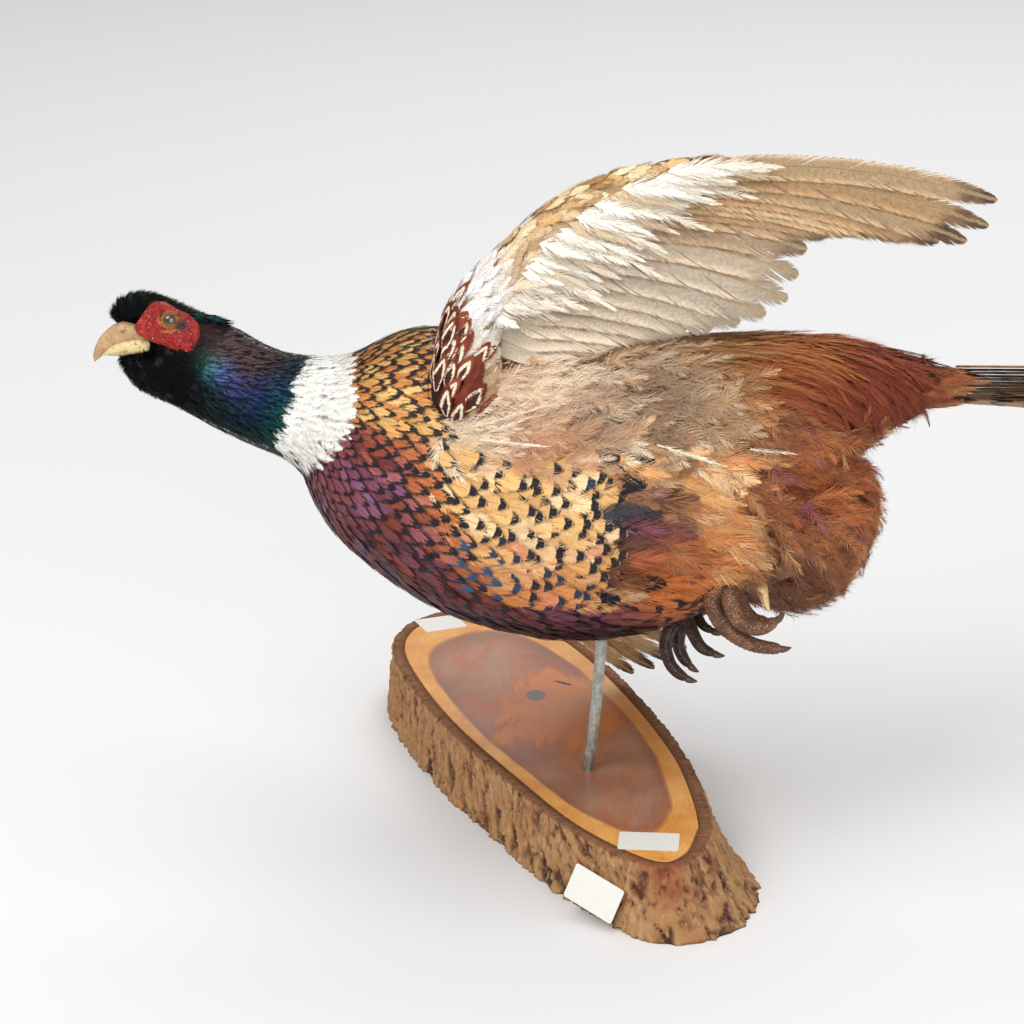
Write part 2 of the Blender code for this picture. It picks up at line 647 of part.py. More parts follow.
def tail(shop):
    """A fleshy root with graduated feathers in a stack."""
    body = profile_solid(shop, "tail", TAIL_ROOT_RINGS, "tail_barred", 6, sides=16)
    if FEATHERED:
        return shop.join(body, [tail_vane(shop, k) for k in range(TAIL_FEATHERS)])
    rings = []
    for share in np.linspace(0, 1, 7):
        x = TAIL_ROOT_RINGS[2][0] + (TAIL_TIP - TAIL_ROOT_RINGS[2][0]) * share
        droop = TAIL_DROOP * share * share
        half_height = 9.0 * (1 - share) + 0.8
        rings.append(oval_ring((x, 0, TAIL_TOP - 9.0 * (1 - share) - droop), (0, 0, half_height),
                               (0, 24.0 * (1 - 0.9 * share), 0), 12))
    return shop.join(body, [shop.solid("tail_blade", *loft(rings), "tail_barred")])


def body_nodes(shop):
    """Rump, torso, white ring, neck and head as one form, parted by thin cuts, and the fluff round the vent."""
    half = GAP / 2
    last = len(BODY_RINGS) - 1
    nodes = {
        "rump": profile_solid(shop, "rump", BODY_RINGS, "plumage_rust", 6, first=0, last=RUMP_ENDS, trim=(0, half)),
        "torso": profile_solid(shop, "torso", BODY_RINGS, "plumage_gold", 14, first=RUMP_ENDS, last=TORSO_ENDS,
                               trim=(-half, half)),
        "neck_ring": profile_solid(shop, "neck_ring", BODY_RINGS, "ring_white", 4, first=TORSO_ENDS,
                                   last=RING_ENDS, trim=(-half, half)),
        "neck": profile_solid(shop, "neck", BODY_RINGS, "plumage_dark", 6, first=RING_ENDS, last=last,
                              trim=(-half, half)),
        "head": profile_solid(shop, "head", HEAD_RINGS, "plumage_dark", 10, sides=20, trim=(-half, 0)),
        "vent": profile_solid(shop, "vent", VENT_RINGS, "plumage_fluff", 7, sides=16),
    }
    return nodes


def bill_nodes(shop):
    """The hooked upper bill with its nostrils, and the lower bill under it."""
    upper = profile_solid(shop, "bill_upper", BILL_UPPER_RINGS, "bill_horn", 10, sides=12)
    lumps, pits = [], []
    for label, sign in SIDES:
        x, y, z = NOSTRIL
        lumps.append(ball(shop, f"operculum_{label}", (x + 1.5, sign * (y - 1.2), z + 1.6),
                          (4.0, 2.2, OPERCULUM_RISE), "bill_horn", 8, 6))
        pits.append(ball(shop, f"nostril_{label}", (x, sign * (y + 0.9), z - 0.6), NOSTRIL_RADII, "bill_horn", 6, 5))
    shop.join(upper, lumps)
    shop.boolean(upper, pits, "DIFFERENCE")
    lower = profile_solid(shop, "bill_lower", BILL_LOWER_RINGS, "bill_horn", 7, sides=10)
    shop.clear(lower, upper)
    return {"bill_upper": upper, "bill_lower": lower}


def wattle(shop, label, sign, head, eye):
    """The red skin of the face, a patch that lies on the head, with the lids as a rim round the eye."""
    outline = spread((*WATTLE_OUTLINE, WATTLE_OUTLINE[0]), 19)[:-1]
    patch = shop.solid(f"wattle_{label}", *loft([[np.array([x, sign * y, z]) for x, z in outline]
                                                for y in (3.0, 26.0)]), "wattle_red")
    skin = shop.placed("wattle_skin", grown_mesh(head.data, WATTLE_THICK + GAP), head.parent)
    shop.boolean(patch, [skin], "INTERSECT")
    shop.clear(patch, head)
    x, y, z = EYE_CENTRE
    shop.join(patch, [hoop(shop, f"lid_{label}", (x, sign * (y + LID_STAND), z), LID_RADIUS, LID_THICK,
                           "wattle_red")])
    return shop.clear(patch, eye, head)


def face_nodes(shop, head, bill_upper):
    """Eyes, the red wattles round them with their lids, and the ear tufts, on both sides."""
    nodes = {}
    for label, sign in SIDES:
        x, y, z = EYE_CENTRE
        eye = ball(shop, f"eye_{label}", (x, sign * y, z), (EYE_RADIUS,) * 3, "eye_glass")
        tuft = limb(shop, f"ear_tuft_{label}", [(x, sign * y, z) for x, y, z in TUFT_PATH], TUFT_RADII,
                    "plumage_dark", 8, 7, 0.7)
        skin = wattle(shop, label, sign, head, eye)
        shop.clear(skin, tuft, bill_upper)
        nodes.update({f"eye_{label}": eye, f"wattle_{label}": skin, f"ear_tuft_{label}": tuft})
    return nodes


def claw(shop, name, toe):
    """A curved horny tip that goes on from a toe's last stretch."""
    end, before = np.array(toe[-1], float), np.array(toe[-2], float)
    ahead = (end - before) / np.linalg.norm(end - before)
    down = np.cross(ahead, (0, 1.0, 0))
    path = [end + ahead * (GAP + CLAW_LENGTH * s) + down * CLAW_CURL * s * s for s in (0, 0.5, 1)]
    return limb(shop, name, path, (1.7, 1.3, 0.3), "claw_horn", 6, 3)


def leg_nodes(shop, label, shank, palm, toes, spur, thigh):
    """One tucked leg: the fluffed thigh, the shank with its spur, and the foot with a claw on each toe."""
    nodes = {}
    leg = limb(shop, f"shank_{label}", shank, SHANK_RADII, "leg_scale", 10, 6)
    foot = ball(shop, f"foot_{label}", palm, PALM_RADII, "leg_scale", 10, 6)
    digits = []
    for k, toe in enumerate(toes):
        thick = HALLUX_RADIUS if k == len(toes) - 1 else TOE_RADIUS
        radii = (thick * 1.15, thick * 1.05, thick, thick * 0.95, thick * 0.72)
        digits.append(limb(shop, f"toe_{label}_{k}", toe, radii, "leg_scale", 7, len(toe) + 3))
        nodes[f"claw_{label}_{k + 1}"] = claw(shop, f"claw_{label}_{k + 1}", toe)
    shop.join(foot, digits)
    shop.clear(leg, foot)
    for k in range(len(toes)):
        shop.clear(nodes[f"claw_{label}_{k + 1}"], foot)
    prong = limb(shop, f"spur_{label}", spur, SPUR_RADII, "spur_cream", 8, 5)
    shop.clear(prong, leg, foot)
    mass = limb(shop, f"thigh_{label}", thigh, THIGH_RADII, "plumage_fluff", 14, 7)
    nodes.update({f"shank_{label}": leg, f"foot_{label}": foot, f"spur_{label}": prong, f"thigh_{label}": mass})
    return nodes


def slab_outline():
    """Evenly spaced points of the slab's edge at the top, and the directions square to it."""
    edge = spread((*SLAB_OUTLINE[-2:], *SLAB_OUTLINE, *SLAB_OUTLINE[:3]), 1200)
    turn = np.unwrap(np.arctan2(edge[:, 1] - edge[:, 1].mean(), edge[:, 0] - edge[:, 0].mean()))
    once = np.abs(turn - turn[0]) < 2 * pi
    edge = edge[once]
    along = np.concatenate([[0], np.cumsum(np.linalg.norm(np.diff(edge, axis=0), axis=1))])
    wanted = np.linspace(0, along[-1], SLAB_POINTS + 1)[:-1]
    edge = np.stack([np.interp(wanted, along, column) for column in edge.T], 1)
    ahead = np.roll(edge, -1, axis=0) - np.roll(edge, 1, axis=0)
    ahead = ahead / np.linalg.norm(ahead, axis=1, keepdims=True)
    out = np.stack([ahead[:, 1], -ahead[:, 0]], 1)
    outward = np.sign((out * (edge - edge.mean(0))).sum())
    return edge, out * outward


def to_table(flat, height):
    turn = radians(SLAB_TURN)
    x = flat[0] * cos(turn) + flat[1] * sin(turn)
    y = flat[0] * sin(turn) - flat[1] * cos(turn)
    return np.array([x, y, height])


def slab_nodes(shop):
    """The sawn wood and the ring of bark round it, with a root spur that flares at the near right."""
    edge, out = slab_outline()
    rough = np.random.default_rng(7).uniform(-1.0, 1.0, (3, SLAB_POINTS))
    core = edge - out * BARK_THICK
    wood = shop.solid("base_wood", *loft([[to_table(p, z) for p in core] for z in (0, SLAB_THICK)]),
                      "slab_wood", False)
    flare = BARK_FLARE * np.exp(-(np.linalg.norm(edge - FLARE_AT, axis=1) / FLARE_SPREAD) ** 2)
    flare = BARK_SPREAD + flare * np.interp(edge[:, 1], FLARE_SIDE, (0.0, 1.0))
    phase = np.linspace(0, 2 * pi * BARK_RIDGES, SLAB_POINTS, endpoint=False)
    rings = []
    for level, (share, reach) in enumerate(((0.0, 1.0), (0.45, 0.42), (1.0, 0.0))):
        stand = reach * flare + BARK_RIDGE_HEIGHT * (np.sin(phase) + 0.8 * rough[level])
        rings.append([to_table(p + o * by, share * SLAB_THICK) for p, o, by in zip(edge, out, stand)])
    inside = edge - out * (BARK_THICK - GAP)
    rings += [[to_table(p, z) for p in inside] for z in (SLAB_THICK, 0)]
    points = [p for ring in rings for p in ring]
    faces = []
    for k in range(len(rings)):
        here, there = k * SLAB_POINTS, (k + 1) % len(rings) * SLAB_POINTS
        for i in range(SLAB_POINTS):
            j = (i + 1) % SLAB_POINTS
            faces += [(here + i, here + j, there + j), (here + i, there + j, there + i)]
    bark = shop.solid("base_bark", points, faces, "slab_bark", False)
    return {"base_wood": wood, "base_bark": bark}


def rod_path(shares):
    """The bent wire's middle, from its socket in the wood to its end in the breast."""
    low, high = SLAB_THICK - ROD_SOCKET, ROD_TOP
    return [np.array([ROD_LEAN[0] * s + ROD_BOW * sin(pi * s), ROD_LEAN[1] * s, low + (high - low) * s])
            for s in shares]


def rod_node(shop):
    rings = []
    for point in rod_path(np.linspace(0, 1, 9)):
        rings.append(oval_ring(point, (ROD_RADIUS, 0, 0), (0, ROD_RADIUS, 0), 14))
    return shop.solid("rod", *loft(rings), "rod_steel", False)


def main():
    clear_scene()
    shop = Shop()
    nodes = body_nodes(shop)
    nodes.update(bill_nodes(shop))
    nodes.update(face_nodes(shop, nodes["head"], nodes["bill_upper"]))
    nodes.update(leg_nodes(shop, "left", LEFT_SHANK, LEFT_PALM, LEFT_TOES, LEFT_SPUR, LEFT_THIGH))
    nodes.update(leg_nodes(shop, "right", RIGHT_SHANK, RIGHT_PALM, RIGHT_TOES, RIGHT_SPUR, RIGHT_THIGH))
    nodes.update(slab_nodes(shop))
    nodes["rod"] = rod_node(shop)
    nodes["tail"] = tail(shop)
    wings = {**left_wing(shop), **right_wing(shop)}

    torso, rump = nodes["torso"], nodes["rump"]
    legs = [nodes[f"{part}_{label}"] for label, sign in SIDES for part in ("shank", "foot", "spur")]
    thighs = [nodes[f"thigh_{label}"] for label, sign in SIDES]
    for label, sign in SIDES:
        shop.clear(nodes[f"ear_tuft_{label}"], nodes["head"], nodes["neck"])
    shop.clear(nodes["head"], *[nodes[n] for n in ("bill_upper", "bill_lower", "eye_left", "eye_right")])
    for part in (*wings.values(), *thighs):
        shop.clear(part, torso)
    for thigh in thighs:
        shop.clear(thigh, rump, *legs)
    shop.clear(nodes["vent"], torso, rump, *thighs, *legs)
    shop.clear(torso, nodes["rod"], *legs)
    shop.clear(nodes["base_wood"], nodes["rod"])


main()
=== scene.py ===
"""The finish of a mounted cock pheasant: skin, plumage, wings, tail, face, feet, slab, rod and the stage.

Lengths on the bird are in its own frame in millimetres, +X to the tail, +Y to its right, +Z up its back, and
to_world() rolls it and lifts it over the slab. Lengths on the slab are in the table's frame.
"""

from collections import namedtuple
from math import cos, pi, radians, sin

import bmesh
import bpy
import numpy as np
from bpy.props import FloatProperty, FloatVectorProperty, IntProperty
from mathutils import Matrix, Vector
from mathutils.bvhtree import BVHTree


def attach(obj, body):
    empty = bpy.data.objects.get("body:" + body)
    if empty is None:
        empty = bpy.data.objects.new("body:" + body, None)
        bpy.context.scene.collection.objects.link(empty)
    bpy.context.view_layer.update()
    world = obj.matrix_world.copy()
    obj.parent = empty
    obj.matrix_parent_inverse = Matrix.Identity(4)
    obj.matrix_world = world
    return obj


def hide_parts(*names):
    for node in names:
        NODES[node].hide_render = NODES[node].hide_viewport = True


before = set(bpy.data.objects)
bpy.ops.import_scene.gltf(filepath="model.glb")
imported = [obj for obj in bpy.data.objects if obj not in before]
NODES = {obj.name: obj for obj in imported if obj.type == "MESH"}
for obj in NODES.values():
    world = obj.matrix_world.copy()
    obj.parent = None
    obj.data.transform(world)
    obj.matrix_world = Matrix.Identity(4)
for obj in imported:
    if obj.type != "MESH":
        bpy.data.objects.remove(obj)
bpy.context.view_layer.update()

bl_info = {
    "name": "Mounted cock pheasant",
    "version": (1, 0, 0),
    "blender": (4, 5, 0),
    "location": "View3D > Sidebar > Pheasant",
    "description": "Builds the feathers, face, feet and slab of a mounted cock pheasant round its solids",
    "category": "Object",
}

SIDES = ("left", -1), ("right", 1)   # with the way that each lies along the bird's Y
PLAIN = (0.0, 0.0, 0.0)      # a feather's Mark or Kind where it has no marks
MM = 0.001

# Pose of the bird's own frame

ROLL = radians(18.0)
TORSO_HEIGHT = 0.183
TURN = np.array(((1, 0, 0), (0, cos(ROLL), sin(ROLL)), (0, -sin(ROLL), cos(ROLL))))
LIFT = np.array((0, 0, TORSO_HEIGHT))
BAKE_PATCH = 0.003           # of one tuft on the bake map
MOST_TRIANGLES = 190000      # in one piece


def to_world(points):
    return np.asarray(points, float) @ TURN.T * MM + LIFT


def to_bird(points):
    return (np.asarray(points, float) - LIFT) @ TURN / MM


def srgb(red, green, blue):
    """A linear colour from screen values of 0 to 255."""
    share = np.array((red, green, blue)) / 255.0
    return np.where(share <= 0.04045, share / 12.92, ((share + 0.055) / 1.055) ** 2.4)


def unit(vectors):
    return vectors / np.maximum(np.linalg.norm(vectors, axis=-1, keepdims=True), 1e-9)


def smooth_step(value, low, high):
    """0 below low and 1 above high, or the other way about where low is the larger."""
    share = np.clip((np.asarray(value, float) - low) / (high - low), 0.0, 1.0)
    return share * share * (3 - 2 * share)


def smooth_curve(points, places):
    """Points on the smooth curve through these rows, at these places in the list, whole or part."""
    points = np.asarray(points, float)
    padded = np.vstack([2 * points[0] - points[1], points, 2 * points[-1] - points[-2]])
    found = []
    for t in places:
        k = min(int(t), len(points) - 2)
        u = t - k
        a, b, c, d = padded[k:k + 4]
        found.append(0.5 * (2 * b + (c - a) * u + (2 * a - 5 * b + 4 * c - d) * u * u
                            + (3 * b - a - 3 * c + d) * u ** 3))
    return np.array(found)


def tint(colour):
    """A linear colour; three numbers in brackets are screen values, anything else is linear already."""
    return srgb(*colour) if isinstance(colour, tuple) else np.asarray(colour, float)


def columns(*parts):
    """These columns side by side, each a row of numbers or one number for all."""
    return np.stack(np.broadcast_arrays(*parts), -1)


def way_along(line):
    """How far along this line of points each of them is."""
    return np.concatenate([[0], np.cumsum(np.linalg.norm(np.diff(line, axis=0), axis=1))])


def read_along(line, places):
    """Points at these distances along a line of points."""
    return np.stack([np.interp(places, way_along(line), column) for column in line.T], 1)


def spread(points, count):
    """count points on the smooth curve through these rows, evenly along it."""
    fine = smooth_curve(points, np.linspace(0, len(points) - 1, 60 * len(points)))
    return read_along(fine, np.linspace(0, way_along(fine)[-1], count))


def wave_noise(points, size, seed, layers=4):
    """Smooth noise of about -1 to 1 at these points, with bumps of about this size."""
    rng = np.random.default_rng(seed)
    total = np.zeros(len(points))
    for layer in range(layers):
        for turn in range(5):
            way = unit(rng.normal(size=3)) * 2 * pi / size * 1.7 ** layer
            total += np.sin(points @ way + rng.uniform(0, 2 * pi)) / 1.6 ** layer
    return total / 4.5


# Meshes


def make_mesh(name, points, triangles=None, quads=None, uvs=None, colours=None):
    """A mesh in world metres; uvs and colours map a layer's name to a row for each point."""
    mesh = bpy.data.meshes.new(name)
    faces = [np.asarray(rows) for rows in (triangles, quads) if rows is not None and len(rows)]
    corners = np.concatenate([rows.ravel() for rows in faces]).astype(np.int32)
    sides = np.concatenate([np.full(len(rows), rows.shape[1]) for rows in faces])
    mesh.vertices.add(len(points))
    mesh.vertices.foreach_set("co", np.asarray(points, np.float32).ravel())
    mesh.loops.add(len(corners))
    mesh.loops.foreach_set("vertex_index", corners)
    mesh.polygons.add(len(sides))
    mesh.polygons.foreach_set("loop_start", (np.cumsum(sides) - sides).astype(np.int32))
    mesh.update(calc_edges=True)
    for layer, rows in (uvs or {}).items():
        mesh.uv_layers.new(name=layer).data.foreach_set("uv", np.asarray(rows, np.float32)[corners].ravel())
    for layer, rows in (colours or {}).items():
        made = mesh.color_attributes.new(layer, "FLOAT_COLOR", "POINT")
        made.data.foreach_set("color", opaque(rows).ravel())
    mesh.shade_smooth()
    return mesh


def place(name, mesh, material=None):
    made = bpy.data.objects.new(name, mesh)
    bpy.context.scene.collection.objects.link(made)
    if material is not None:
        mesh.materials.clear()
        mesh.materials.append(material)
    return made


def fit(piece, slot, *replaced):
    """Rides the piece on the part and hides the solids that it stands for. slot is not used."""
    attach(piece, "root")
    if replaced:
        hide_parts(*replaced)
    return piece


def solved(obj):
    """Turns the object's modifiers into a plain mesh."""
    bpy.context.view_layer.update()
    graph = bpy.context.evaluated_depsgraph_get()
    mesh = bpy.data.meshes.new_from_object(obj.evaluated_get(graph))
    obj.modifiers.clear()
    obj.data = mesh
    return obj


def read(mesh, word):
    """The points' places or normals, as word says."""
    rows = np.empty(len(mesh.vertices) * 3)
    mesh.vertices.foreach_get(word, rows)
    return rows.reshape(-1, 3)


def loft(rings, closed_ends=True):
    """Points, triangles and quads through rings (m, n, 3); a closed end runs to a point in its middle."""
    rings = np.asarray(rings, float)
    count, sides = rings.shape[:2]
    points, i = rings.reshape(-1, 3), np.arange(sides)
    j = (i + 1) % sides
    quads = np.concatenate([np.stack([i, j, j + sides, i + sides], 1) + k * sides for k in range(count - 1)])
    triangles = []
    for first, a, b in ((0, j, i), ((count - 1) * sides, i, j)) if closed_ends else ():
        points = np.vstack([points, points[first:first + sides].mean(0)])
        triangles.append(columns(first + a, first + b, len(points) - 1))
    return points, np.concatenate(triangles) if triangles else None, quads


def form(name, rings, convert=to_world, closed_ends=True, **layers):
    """A mesh through rings, with its faces outwards."""
    points, triangles, quads = loft(rings, closed_ends)
    return outward(make_mesh(name, convert(points), triangles, quads, **layers))


def outward(mesh):
    """Points the faces of a closed mesh outwards."""
    edit = bmesh.new()
    edit.from_mesh(mesh)
    bmesh.ops.recalc_face_normals(edit, faces=edit.faces)
    if edit.calc_volume(signed=True) < 0:
        bmesh.ops.reverse_faces(edit, faces=edit.faces)
    edit.to_mesh(mesh)
    edit.free()
    return mesh


# Materials


class Graph:
    """Short words for building a node tree."""

    def __init__(self, tree):
        self.tree = tree

    def node(self, kind, values=None, **settings):
        made = self.tree.nodes.new(kind)
        for name, value in settings.items():
            setattr(made, name, value)
        for name, value in (values or {}).items():
            self.set(made.inputs[name], value)
        return made

    def set(self, socket, value):
        if isinstance(value, bpy.types.NodeSocket):
            self.tree.links.new(value, socket)
        elif isinstance(value, (np.ndarray, tuple)):
            row = tuple(float(v) for v in value)
            socket.default_value = (*row, 1.0) if socket.type == "RGBA" and len(row) == 3 else row
        else:
            socket.default_value = value

    def math(self, operation, a, b=0.0, c=0.0, clamp=False):
        return self.node("ShaderNodeMath", {0: a, 1: b, 2: c}, operation=operation,
                         use_clamp=clamp).outputs[0]

    def times(self, a, b):
        return self.math("MULTIPLY", a, b)

    def plus(self, a, b):
        return self.math("ADD", a, b)

    def less(self, a, b):
        return self.math("SUBTRACT", a, b)

    def line(self, a, slope, b):
        return self.math("MULTIPLY_ADD", a, slope, b)

    def size(self, a):
        return self.math("ABSOLUTE", a)

    def most(self, a, b, clamp=False):
        return self.math("MAXIMUM", a, b, clamp=clamp)

    def ramp(self, value, low, high, start=0.0, end=1.0):
        """start below low, end above high, smooth between."""
        values = {"Value": value, "From Min": low, "From Max": high, "To Min": start, "To Max": end}
        return self.node("ShaderNodeMapRange", values, interpolation_type="SMOOTHSTEP").outputs["Result"]

    def mix(self, share, a, b, blend="MIX"):
        a, b = (srgb(*side) if isinstance(side, tuple) else side for side in (a, b))
        return self.node("ShaderNodeMix", {0: share, 6: a, 7: b}, data_type="RGBA",
                         blend_type=blend).outputs[2]

    def layers(self, colour, *over):
        """A colour with others over it, each as its mask, the mask's strength and the colour."""
        for mask, strength, own in over:
            colour = self.mix(mask if strength == 1 else self.times(mask, strength), colour, own)
        return colour

    def shaded(self, colour, value):
        """A colour darkened by this value."""
        grey = self.node("ShaderNodeCombineColor", {0: value, 1: value, 2: value}).outputs["Color"]
        return self.mix(1.0, colour, grey, "MULTIPLY")

    def noise(self, vector, scale, detail=3.0, roughness=0.55, distortion=0.0):
        return self.node("ShaderNodeTexNoise", {
            "Vector": vector, "Scale": scale, "Detail": detail, "Roughness": roughness,
            "Distortion": distortion}).outputs["Fac"]

    def clouds(self, scale, low, high, detail=3.0):
        """Noise over the object between two of its levels."""
        return self.ramp(self.noise(self.position(), scale, detail), low, high)

    def attribute(self, name, output="Color"):
        return self.node("ShaderNodeAttribute", attribute_name=name).outputs[output]

    def position(self):
        return self.node("ShaderNodeTexCoord").outputs["Object"]

    def parts(self, vector):
        return self.node("ShaderNodeSeparateXYZ", {"Vector": vector}).outputs

    def stretched(self, scale, turn=0.0, shift=(0.0, 0.0, 0.0), vector=None):
        """These or the object's places scaled, then turned in degrees round Z, then moved."""
        return self.node("ShaderNodeMapping", {
            "Vector": vector or self.position(), "Scale": scale, "Rotation": (0.0, 0.0, radians(turn)),
            "Location": shift}).outputs["Vector"]

    def group(self, tree, **values):
        return self.node("ShaderNodeGroup", values, node_tree=tree).outputs


class Finish(Graph):
    """The node tree of a new material, with its constant finish set."""

    def __init__(self, name, roughness=0.6, metallic=0.0, specular=0.5, coat=0.0, coat_roughness=0.2):
        self.material = bpy.data.materials.new(name)
        self.material.use_nodes = True
        super().__init__(self.material.node_tree)
        self.shader = self.tree.nodes["Principled BSDF"].inputs
        for socket, value in (("Roughness", roughness), ("Metallic", metallic),
                              ("Specular IOR Level", specular),
                              ("Coat Weight", coat), ("Coat Roughness", coat_roughness)):
            self.shader[socket].default_value = value

    def done(self, colour, height=None, strength=0.0, distance=0.0, roughness=None):
        """Sets what varies over the surface and gives the material."""
        self.set(self.shader["Base Color"], colour)
        if height is not None:
            bump = self.node("ShaderNodeBump",
                             {"Height": height, "Strength": strength, "Distance": distance})
            self.set(self.shader["Normal"], bump.outputs["Normal"])
        if roughness is not None:
            self.set(self.shader["Roughness"], roughness)
        return self.material


def new_group(name, inputs, outputs, kind="ShaderNodeTree"):
    """A node group with these inputs (type, value) and outputs (type), its graph and inner sockets."""
    tree = bpy.data.node_groups.new(name, kind)
    for label, (word, value) in inputs.items():
        socket = tree.interface.new_socket(label, in_out="INPUT", socket_type="NodeSocket" + word)
        if value is not None:
            socket.default_value = value
    for label in outputs:
        word = "Geometry" if label == "Geometry" else "Float"
        tree.interface.new_socket(label, in_out="OUTPUT", socket_type="NodeSocket" + word)
    graph = Graph(tree)
    return tree, graph, graph.node("NodeGroupInput").outputs, graph.node("NodeGroupOutput").inputs


def barb_lines():
    """Fine lines that run out and forward from a quill. Height for bump and a shade for colour."""
    tree, g, given, out = new_group("barb_lines", {
        "Vane": ("Vector", None), "Fineness": ("Float", 60.0), "Slant": ("Float", 0.6)}, ("Height", "Shade"))
    x, y, z = g.parts(given["Vane"])
    along = g.less(y, g.times(g.size(g.less(x, 0.5)), given["Slant"]))
    rough = g.noise(g.position(), 900.0, 2.0)
    wave = g.math("SINE", g.line(along, g.times(given["Fineness"], 6.283), g.times(rough, 2.5)))
    g.set(out["Height"], g.line(wave, 0.35, rough))
    g.set(out["Shade"], g.line(wave, 0.10, g.line(rough, 0.5, 0.75)))
    return tree


def vane_group(name, grain, detail, outputs, **inputs):
    """A group of marks on a vane: the places across and along it, roughness and Kind's colours."""
    tree, g, given, out = new_group(name, {"Vane": ("Vector", None), "Kind": ("Color", None), **inputs},
                                    outputs)
    x, y, z = g.parts(given["Vane"])
    kind = g.node("ShaderNodeSeparateColor", {"Color": given["Kind"]}).outputs
    rough = g.less(g.noise(g.position(), grain, detail), 0.5)
    return tree, g, given, out, g.times(g.size(g.less(x, 0.5)), 2.0), y, rough, tuple(kind)


def tip_marks():
    """Where a small feather is dark. Vane's Y is 1 at the tip and 0 where the feather before it covers it.

    Kind asks for a dark fringe with a notch (red), a crescent before the tip (green) and a pale loop (blue).
    Rim is the distance from the edge on the same scale as Vane.
    """
    tree, g, given, out, across, along, rough, (red, green, blue) = vane_group(
        "tip_marks", 420.0, 2.0, ("Mask", "Core"), Rim=("Float", 1.0))
    along = g.line(rough, 0.16, along)
    rim = g.line(rough, 0.10, given["Rim"])
    fringe = g.times(g.ramp(g.line(red, -0.33, rim), 0.0, -0.07), g.ramp(along, -0.1, 0.15))
    notch = g.ramp(g.line(red, 0.45, g.line(across, -1.7, along)), 0.74, 0.84)
    notch = g.times(notch, g.ramp(red, 0.1, 0.4))
    bent = g.less(g.line(g.times(across, across), 0.42, along), 0.72)
    bar = g.plus(g.math("POWER", g.math("DIVIDE", bent, 0.17), 2.0),
                 g.math("POWER", g.times(across, 1.35), 2.0))
    bar = g.times(g.ramp(bar, 1.2, 0.8), green)
    loop = g.times(g.ramp(g.size(g.less(rim, 0.30)), 0.10, 0.06), blue)
    g.set(out["Mask"], g.most(g.most(fringe, notch), g.most(bar, loop), clamp=True))
    g.set(out["Core"], g.times(g.ramp(rim, 0.36, 0.44), blue))
    return tree


# Skin

FLESH = ("rump", "torso", "neck_ring", "neck", "head", "vent", "thigh_left", "thigh_right")
MIDLINE = ((-240, 70), (-200, 68), (-165, 50), (-120, 38), (-60, 10), (40, 5), (110, 25), (170, 52),
           (260, 50))


def middle_height(x):
    """Height of the body's middle line."""
    return np.interp(x, *np.array(MIDLINE, float).T)


def unwrapped(points):
    """Places of skin points on an unwrap round the body's middle line."""
    x, y, z = np.asarray(points, float).T
    return columns(np.clip((x + 250) / 900, 0, 1), np.arctan2(y, z - middle_height(x)) / (2 * pi) + 0.5)


def coat_depth(points):
    """How far the skin lies inside the plumage's outline."""
    x = np.asarray(points)[:, 0]
    return np.interp(x, (-235, -200, -170, -140, -100, -60), (0.8, 1.6, 2.2, 2.8, 4.0, 4.5))


class Skin:
    """The bird's skin in its own frame, and the ways to root feathers on it."""

    def __init__(self, points, triangles):
        self.points, self.triangles = points, triangles
        a, b, c = (points[triangles[:, k]] for k in range(3))
        self.areas = np.linalg.norm(np.cross(b - a, c - a), axis=1) / 2
        self.middles = points[triangles].mean(1)
        self.tree = BVHTree.FromPolygons(points.tolist(), triangles.tolist())

    def nearest(self, points):
        """The nearest places on the skin and the ways out of it there."""
        hits = map(self.tree.find_nearest, points.tolist())
        found = np.array([(*hit, *normal) for hit, normal, index, distance in hits])
        return found[:, :3], found[:, 3:]

    def scatter(self, rng, spacing, where):
        """Roots at least this far apart, on the triangles where this function of the place is above 0."""
        inside = np.flatnonzero(where(self.middles) > 0)
        area = self.areas[inside]
        count = int(area.sum() / spacing ** 2 * 6) + 1
        picked = inside[rng.choice(len(inside), count, p=area / area.sum())]
        a, b = rng.random((2, count))
        over = a + b > 1
        a[over], b[over] = 1 - a[over], 1 - b[over]
        corners = self.points[self.triangles[picked]]
        points = corners[:, 0] + (corners[:, 1] - corners[:, 0]) * a[:, None]
        points = points + (corners[:, 2] - corners[:, 0]) * b[:, None]
        points = points[where(points) > 0]
        return self.nearest(points[thinned(points, spacing)])

    def follow(self, roots, normals, heading, length, stations, rise, loose=0.0, sag=0.0, leave=0.35):
        """Paths over the skin that climb from the root by rise(share), with the way up at each station.

        Where the skin turns away by more than leave times a step the path goes on straight, and falls by sag
        times the square of its way from there.
        """
        level, up, free = roots, normals, np.zeros(len(roots))
        ahead = unit(heading - normals * (heading * normals).sum(1, keepdims=True))
        paths, ups = [roots], [normals]
        step = np.asarray(length) / (stations - 1)
        for k in range(1, stations):
            target = level + ahead * step[:, None]
            found, normal = self.nearest(target)
            off = np.linalg.norm(target - found, axis=1)
            left = (off > 1.5 + leave * step) | (free > 0) | ((normal * up).sum(1) < 0.3)
            free = np.where(left, free + step, 0.0)
            new_level = np.where(left[:, None], target + columns(0, 0, -sag * free * step), found)
            up = np.where(left[:, None], up, unit(normal * (1 - loose) + up * loose))
            ahead, level = unit(new_level - level), new_level
            ahead = unit(ahead - up * (ahead * up).sum(1, keepdims=True) * 0.9)
            paths.append(level + up * np.asarray(rise(k / (stations - 1))).reshape(-1, 1))
            ups.append(up)
        return np.stack(paths, 1), np.stack(ups, 1)


